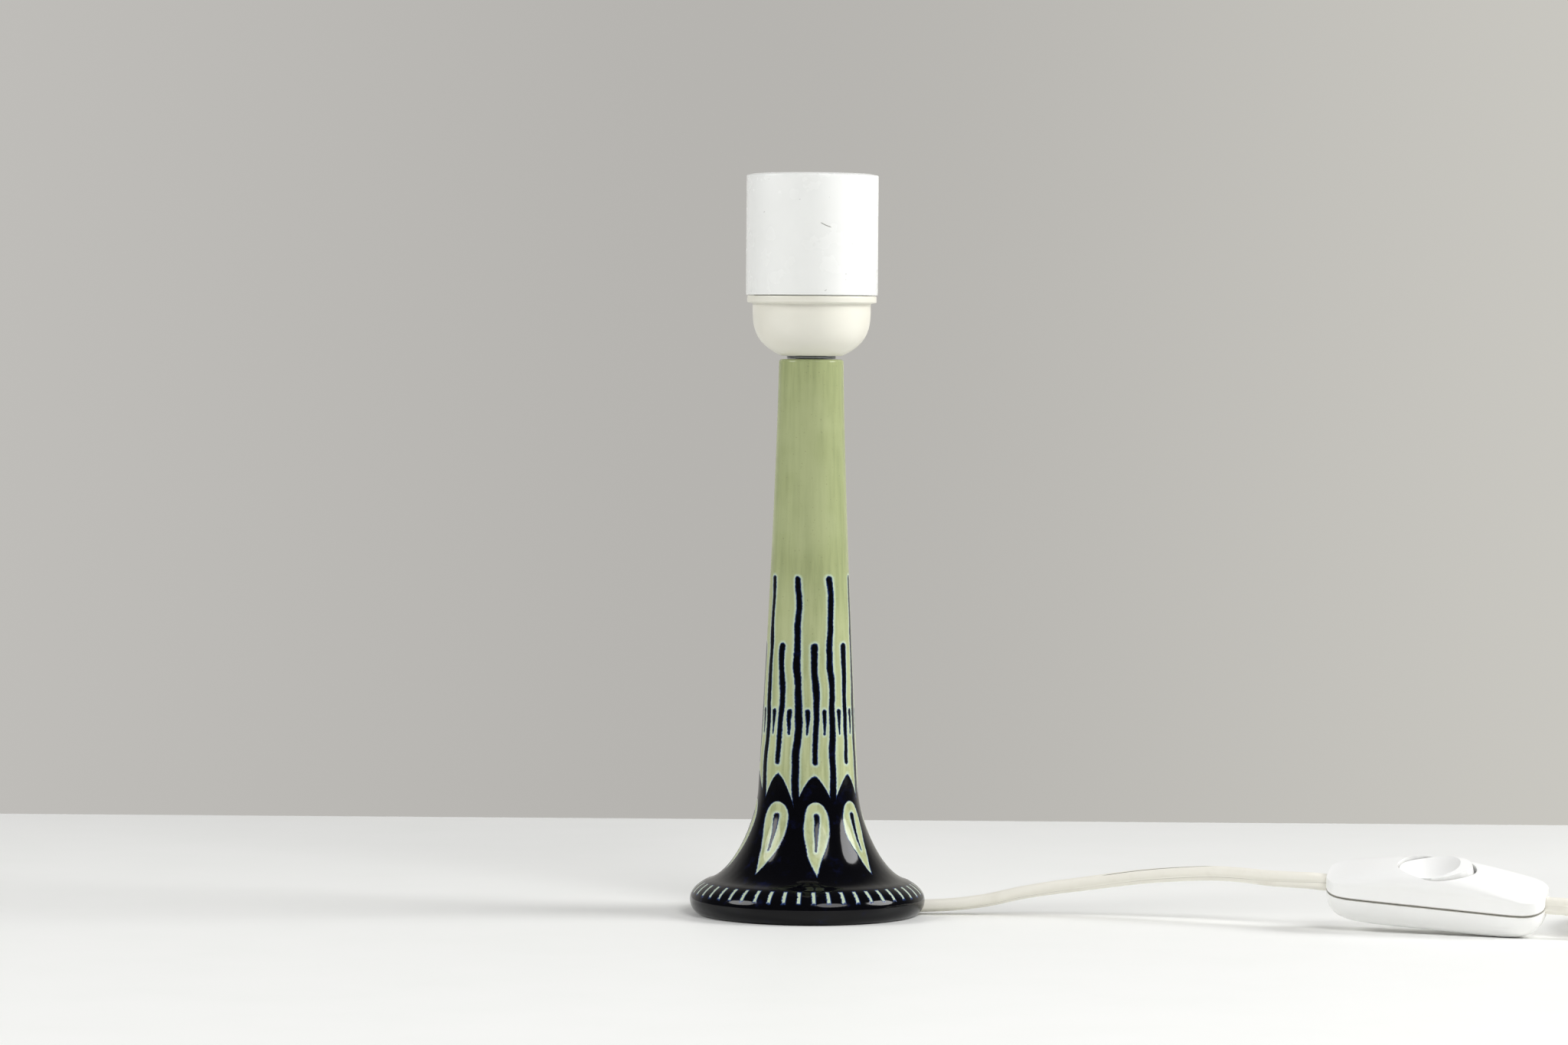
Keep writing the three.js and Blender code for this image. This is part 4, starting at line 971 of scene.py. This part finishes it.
def screw_shell(steps=96, rows=90):
    """One sheet whose wall follows the rolled thread, with a flange above and a lip below."""
    top = dome_bottom + holder_height - mouth_depth + seat_gap
    thread_low = top - thread_flange - thread_length
    bottom = insert_top + seat_gap
    middle = (thread_major + thread_minor) / 4
    depth = (thread_major - thread_minor) / 4

    def wall(height, angle):
        share = (height - thread_low) / thread_length
        fade = min(1, share / thread_fade_share, (1 - share) / thread_fade_share)
        return middle + depth * fade * math.sin(height / thread_pitch * FULL_TURN - angle)

    def ring(radius_at, height):
        angles = [FULL_TURN * i / steps for i in range(steps)]
        return [Vector((radius_at(a) * math.cos(a), radius_at(a) * math.sin(a), height)) for a in angles]

    def level(radius, height):
        return ring(lambda angle: radius, height)

    heights = [thread_low + thread_length * r / rows for r in range(rows + 1)]
    lip = thread_minor / 2 - thread_sheet
    flange = mouth_radius - seat_gap
    rings = [level(lip, bottom), level(middle + thread_sheet, bottom)]
    rings += [ring(lambda a, h=h: wall(h, a) + thread_sheet, h) for h in heights]
    rings += [level(middle + thread_sheet, top), level(flange, top)]
    rings += [level(flange, top + thread_sheet), level(middle, top + thread_sheet)]
    rings += [ring(lambda a, h=h: wall(h, a), h) for h in reversed(heights)]
    rings += [level(middle, bottom + thread_sheet), level(lip, bottom + thread_sheet)]
    return settle(skin("lamp_thread", rings, closed=True), nickel, nodes=["screw_shell"])


ceramic_pot()
holder_dome()
holder_shell()
screw_shell()


# Plug

def oval(x, width, thickness, power, steps=72):
    """A ring round the X axis: an oval where power is 2, squarer where it is more."""
    points = []
    for i in range(steps):
        angle = FULL_TURN * i / steps
        across, rise = (math.copysign(abs(v) ** (2 / power), v) for v in (math.cos(angle), math.sin(angle)))
        points.append(Vector((x, width / 2 * across, thickness / 2 * rise)))
    return points


in_plug = Matrix.Translation(plug_start) @ Matrix.Rotation(math.pi / 2, 4, "Z")
plug_back = relief_length + turned_gap
plug_face = plug_back + plug_length
pin_depth = plug_length / 6


def seat_plug(obj, finish, node):
    return settle(obj, finish, matrix=millimetres @ in_plug, nodes=[node])


def plug_body(steps=60):
    """Its outline in rows: shares of the length, the width and the thickness, and the squareness."""
    outline_shares = [
        (0, plug_neck / plug_width, 0.72, 2),
        (0.08, 0.42, 0.8, 2.2),
        (0.25, plug_grip / plug_width, 0.94, 2.6),
        (0.5, plug_grip / plug_width, 0.98, 3),
        (0.68, 0.84, 1, 3),
        (0.84, 0.97, 1, 3),
        (0.97, 1, 1, 3),
        (1, 0.97, 0.94, 3),
    ]
    columns = [[(row[0], row[k]) for row in outline_shares] for k in (1, 2, 3)]
    rings = []
    for i in range(steps + 1):
        share = i / steps
        wide, thick, power = (blend_between(column, share) for column in columns)
        x = plug_back + share * plug_length
        rings.append(oval(x, wide * plug_width, thick * plug_thickness, power))
    body = skin("plug_moulding", rings)
    for side in (-1, 1):
        y = side * pin_spacing / 2
        start, end = (plug_face - pin_depth, y, 0), (plug_face + overrun, y, 0)
        cut(body, bar("hole", start, end, pin_radius + seat_gap, 32))
    soften(body, plug_rounding, 50, 2)
    return seat_plug(body, white_plastic, "plug_body")


def plug_relief():
    """A tapered sleeve with grooves, each by rows: share of its length and share of its depth."""
    groove_shares = ((0, 1), (0.1, 1), (0.18, 0.3), (0.26, 0), (0.7, 0), (0.78, 0.3), (0.86, 1))
    thin, thick = relief_radii
    rings = []
    for i in range(relief_grooves):
        for share, drop in groove_shares:
            along = (i + share) / relief_grooves
            size = 2 * (thin + (thick - thin) * along - drop * groove_depth)
            rings.append(oval(along * relief_length, size, size, 2, 48))
    rings.append(oval(relief_length, 2 * thick, 2 * thick, 2, 48))
    return seat_plug(skin("plug_strain_relief", rings), white_plastic, "plug_relief")


def plug_pin(number, side):
    """A round pin with a thinner sleeved half and a rounded tip."""
    sleeve = plug_face + pin_length / 2
    end = plug_face + pin_length
    thin = pin_radius - seat_gap
    stops = [(plug_face - pin_depth + turned_gap, thin), (sleeve, thin), (sleeve + seat_gap, pin_radius)]
    stops += [(end - back * pin_radius, radius * pin_radius) for back, radius in pin_tip_shares]
    rings = [oval(x, 2 * radius, 2 * radius, 2, 40) for x, radius in stops]
    pin = skin(f"plug_pin_{number}_turned", rings)
    pin.data.transform(Matrix.Translation((0, side * pin_spacing / 2, 0)))
    return seat_plug(pin, nickel, f"plug_pin_{number}")


plug_pieces = [plug_body(), plug_relief(), plug_pin(1, -1), plug_pin(2, 1)]


# In-line switch, in a frame of its own: x along the cord, z = 0 at the seam

half_length = switch_length / 2
half_width = switch_width / 2
cover_top = switch_side + switch_crown
switch_steps = 72
axle_reach = (well_width + well_wall) / 2


def stations():
    """Shares of the half length, closer together towards both ends."""
    return [math.sin(math.pi / 2 * (2 * i / switch_steps - 1)) for i in range(switch_steps + 1)]


def plan_share(share):
    """How much of its full width the switch has at a share of the half length."""
    return (1 - (switch_end_share * share) ** plan_power) ** 0.5


def arch(power, steps=48):
    """Half of a rounded box outline: shares of the half width and of the height."""
    points = []
    for i in range(steps + 1):
        angle = math.pi * i / steps
        across = math.copysign(abs(math.cos(angle)) ** (2 / power), math.cos(angle))
        points.append((across, abs(math.sin(angle)) ** (2 / power)))
    return points


def switch_upper(name, inset, low, raised=0):
    """Side walls that lean in to a crease, and a broad crown that falls towards the ends."""
    side = switch_side - inset / 2 + raised
    crown = switch_crown - inset / 2
    rings = []
    for share in stations():
        x = share * (half_length - inset)
        wide = (half_width - inset) * plan_share(share)
        crease = (half_width - inset - switch_draft) * plan_share(share)
        top = crown * (1 - (switch_end_share * share) ** 2) ** crown_fall
        ring = [Vector((x, crease * across, side + top * rise)) for across, rise in arch(crown_power)]
        rings.append([Vector((x, wide, low)), *ring, Vector((x, -wide, low))])
    return skin(name, rings)


def switch_lower(name, inset, high):
    """A bowl with full sides that is rounded at its ends."""
    rings = []
    for share in stations():
        x = share * (half_length - inset)
        wide = (half_width - inset) * plan_share(share)
        fall = (1 - abs(switch_end_share * share) ** bowl_end_power) ** bowl_end_fall
        depth = (switch_depth - inset) * fall + high
        rings.append([Vector((x, -wide * across, high - depth * drop)) for across, drop in arch(bowl_power)])
    return skin(name, rings)


def oval_ring(length, width, height, steps=160):
    """A level oval of two half axes."""
    angles = [FULL_TURN * i / steps for i in range(steps)]
    return [Vector((length * math.cos(a), width * math.sin(a), height)) for a in angles]


def oval_bar(name, grow, low, high):
    """An upright bar with the oval of the well, wider all round by grow."""
    length, width = well_length / 2 + grow, well_width / 2 + grow
    return skin(name, [oval_ring(length, width, height) for height in (low, high)])


def axle_bar(reach, radius):
    """The cross pin of the rocker, or the hole for it."""
    return bar("axle", (0, -reach, rocker_axle_height), (0, reach, rocker_axle_height), radius, 40)


def entry_hole(side, steps=16):
    """The slot through both shells for the cord, which stands on edge."""
    round_radius = cord_thickness / 2 + turned_gap
    offset = cord_width / 2 + turned_gap - round_radius
    rings = []
    for x in (side * (half_length - 2 * switch_wall - overrun), side * (half_length + overrun)):
        ring = []
        for end in (1, -1):
            for i in range(steps + 1):
                angle = math.pi * i / steps
                height = switch_cord_height + end * (offset + round_radius * math.sin(angle))
                ring.append(Vector((x, end * round_radius * math.cos(angle), height)))
        rings.append(ring)
    return skin("entry", rings)


def seat_switch(obj, body, node):
    matrix = millimetres @ in_switch
    return settle(obj, switch_plastic, body=body, matrix=matrix, nodes=[node])


def switch_cover():
    """The upper shell, with the well's wall, two screw bosses and the holes for the cord and the pin."""
    cover = switch_upper("switch_top_shell", 0, switch_seam)
    cut(cover, switch_upper("inner", switch_wall, -overrun))
    skirt = oval_bar("skirt", well_wall, skirt_low, cover_top + overrun)
    cut(skirt, switch_upper("outer", 0, switch_seam), "INTERSECT")
    cut(cover, skirt, "UNION")
    for x, y in screw_places:
        top = switch_side + boss_rise
        boss = bar("boss", (x, y, switch_seam), (x, y, top), boss_share * screw_radius, 32)
        cut(cover, boss, "UNION")
        cut(cover, bar("hole", (x, y, -overrun), (x, y, switch_side + overrun), screw_radius + seat_gap, 24))
    for side in (-1, 1):
        cut(cover, entry_hole(side))
    cut(cover, oval_bar("well", 0, skirt_low - overrun, cover_top + overrun))
    cut(cover, axle_bar(axle_reach + seat_gap, rocker_axle + turned_gap))
    soften(cover, switch_rounding, 38)
    return seat_switch(cover, "root", "switch_cover")


def switch_base():
    """The lower shell, with two pillars that its screws sink into from below."""
    base = switch_lower("switch_bottom_shell", 0, -switch_seam)
    cut(base, switch_lower("inner", switch_wall, overrun))
    low = -switch_depth - overrun
    for x, y in screw_places:
        pillar = bar("pillar", (x, y, -switch_depth), (x, y, -switch_seam), pillar_share * screw_head, 32)
        cut(base, cut(pillar, switch_lower("outer", 0, -switch_seam), "INTERSECT"), "UNION")
        cut(base, bar("shank", (x, y, low), (x, y, overrun), screw_radius + seat_gap, 24))
        cut(base, bar("head", (x, y, low), (x, y, -screw_sink * switch_depth), screw_head + seat_gap, 40))
    for side in (-1, 1):
        cut(base, entry_hole(side))
    soften(base, switch_rounding, 38)
    return seat_switch(base, "root", "switch_base")


def switch_rocker():
    """An oval bar that narrows away from its axle, crowned and dished on top, with a peg below."""
    length, width = well_length / 2 - rocker_gap, well_width / 2 - rocker_gap
    rings = []
    for height in (rocker_low, rocker_axle_height, cover_top + 2 * rocker_proud):
        narrower = rocker_draft * abs(height - rocker_axle_height)
        rings.append(oval_ring(length - narrower, width, height))
    rocker = skin("switch_rocker_oval", rings)
    cut(rocker, switch_upper("raised", 0, switch_seam, rocker_proud), "INTERSECT")
    deselect()
    bpy.ops.mesh.primitive_uv_sphere_add(segments=160, ring_count=120, radius=1)
    dish = bpy.context.object
    dish.data.transform(Matrix.Translation(dish_place) @ Matrix.Diagonal((*dish_radii, 1)))
    cut(rocker, dish)
    cut(rocker, axle_bar(axle_reach, rocker_axle), "UNION")
    peg = bar("peg", (0, 0, peg_low), (0, 0, rocker_low + overrun), rocker_axle * peg_share, 24)
    cut(rocker, peg, "UNION")
    soften(rocker, rocker_rounding, 30)
    lift = Matrix.Translation((0, 0, rocker_axle_height))
    turn = Matrix.Rotation(math.radians(rocker_rest), 4, "Y")
    rocker.data.transform(lift @ turn @ lift.inverted())
    return seat_switch(rocker, "rocker", "switch_rocker")


switch_shells = [switch_cover(), switch_base(), switch_rocker()]


# Cord inside the pot and the tube

def inner_cord(steps=6):
    """From the notch it runs just above the table, bends up and goes through the tube to the terminals."""
    bend = inner_cord_bend
    rise = cord_floor + bend
    climb = inner_cord_top - rise
    points = [(cord_start - turned_gap, 0, cord_floor), (cord_start - cord_width, 0, cord_floor)]
    for i in range(steps + 1):
        angle = math.pi / 2 * i / steps
        points.append((bend * (1 - math.sin(angle)), 0, cord_floor + bend * (1 - math.cos(angle))))
    points += [(0, 0, rise + climb * i / steps) for i in range(1, steps + 1)]
    rolls = [(0, -24), (0.12, 0), (1, 0)]
    line = spline(points, inner_cord_spacing)
    rings = cord_rings(line, lambda share: math.radians(blend_between(rolls, share)), Vector((0, 1, 0)))
    return settle(skin("inner_lead", rings), sheath, nodes=["inner_cord"])


inner_cord()


# Frame nodes that keep their own shape

def dress_nodes():
    """Each node that still shows gets its slot's finish and softly broken edges."""
    for part in frame["record"]["subparts"]:
        obj = frame["nodes"][part["node"]]
        if obj.hide_render:
            continue
        obj.data.materials.clear()
        obj.data.materials.append(slots[part["material_slot"]])
        weld = obj.modifiers.new("weld", "WELD")
        weld.merge_threshold = node_weld * MM
        edge = obj.modifiers.new("edge", "BEVEL")
        edge.width = node_rounding * MM
        edge.segments = 2
        edge.limit_method = "ANGLE"
        edge.angle_limit = math.radians(40)


dress_nodes()

shown = {name: obj for name, obj in frame["nodes"].items() if not obj.hide_render}
inside_switch = ("switch_", "contact_bridge", "cord_clamp")
switch_pieces = [obj for name, obj in shown.items() if name.startswith(inside_switch)]
tuple(first_line[0] * MM)
round(length_of(first_line) * MM, 3)
in_metres(first_line)
switch_shells + switch_pieces
tuple(second_line[0] * MM)
round(length_of(second_line) * MM, 3)
in_metres(second_line)


# Table, light and background

def studio():
    """A grey wall behind the lamp, a dim room behind the camera, a pale table and three soft lamps."""
    world = bpy.data.worlds.new("studio")
    world.use_nodes = True
    air = Nodes(world.node_tree, "Background", "Generated")
    x, y = air.axes()[:2]
    wall = air.mix(air.step(x, -0.24, 0.06), (194, 192, 188), (179, 177, 173))
    wall = air.mix(air.step(x, -0.04, 0.22), wall, (206, 204, 197))
    air.set("Color", air.mix(air.step(y, 0.4, 0.9), (92, 92, 95), wall))
    air.set("Strength", 1)
    bpy.context.scene.world = world
    bpy.context.scene.view_settings.view_transform = "Standard"
    deselect()
    bpy.ops.mesh.primitive_plane_add(size=1)
    floor = bpy.context.object
    floor.name = "table_top"
    floor.data.transform(Matrix.Translation(table_place) @ Matrix.Diagonal((*table_size, 1)))
    finish = Finish("table_paint", (250, 250, 248), 0.5)
    finish.set("Base Color", finish.mix(finish.noise(30, 3), (251, 251, 249), (246, 247, 244)))
    floor.data.materials.append(finish.material)
    for direction, power in lamp_aims:
        light(Vector(direction).normalized() * lamp_distance, power)


def light(place, power):
    """A round soft lamp that shines at the origin."""
    bpy.ops.object.light_add(type="AREA")
    lamp = bpy.context.object
    lamp.data.shape = "DISK"
    lamp.data.size = lamp_size
    lamp.data.energy = power
    turn = (-place).to_track_quat("-Z", "Y").to_matrix().to_4x4()
    lamp.matrix_world = Matrix.Translation(place) @ turn


studio()
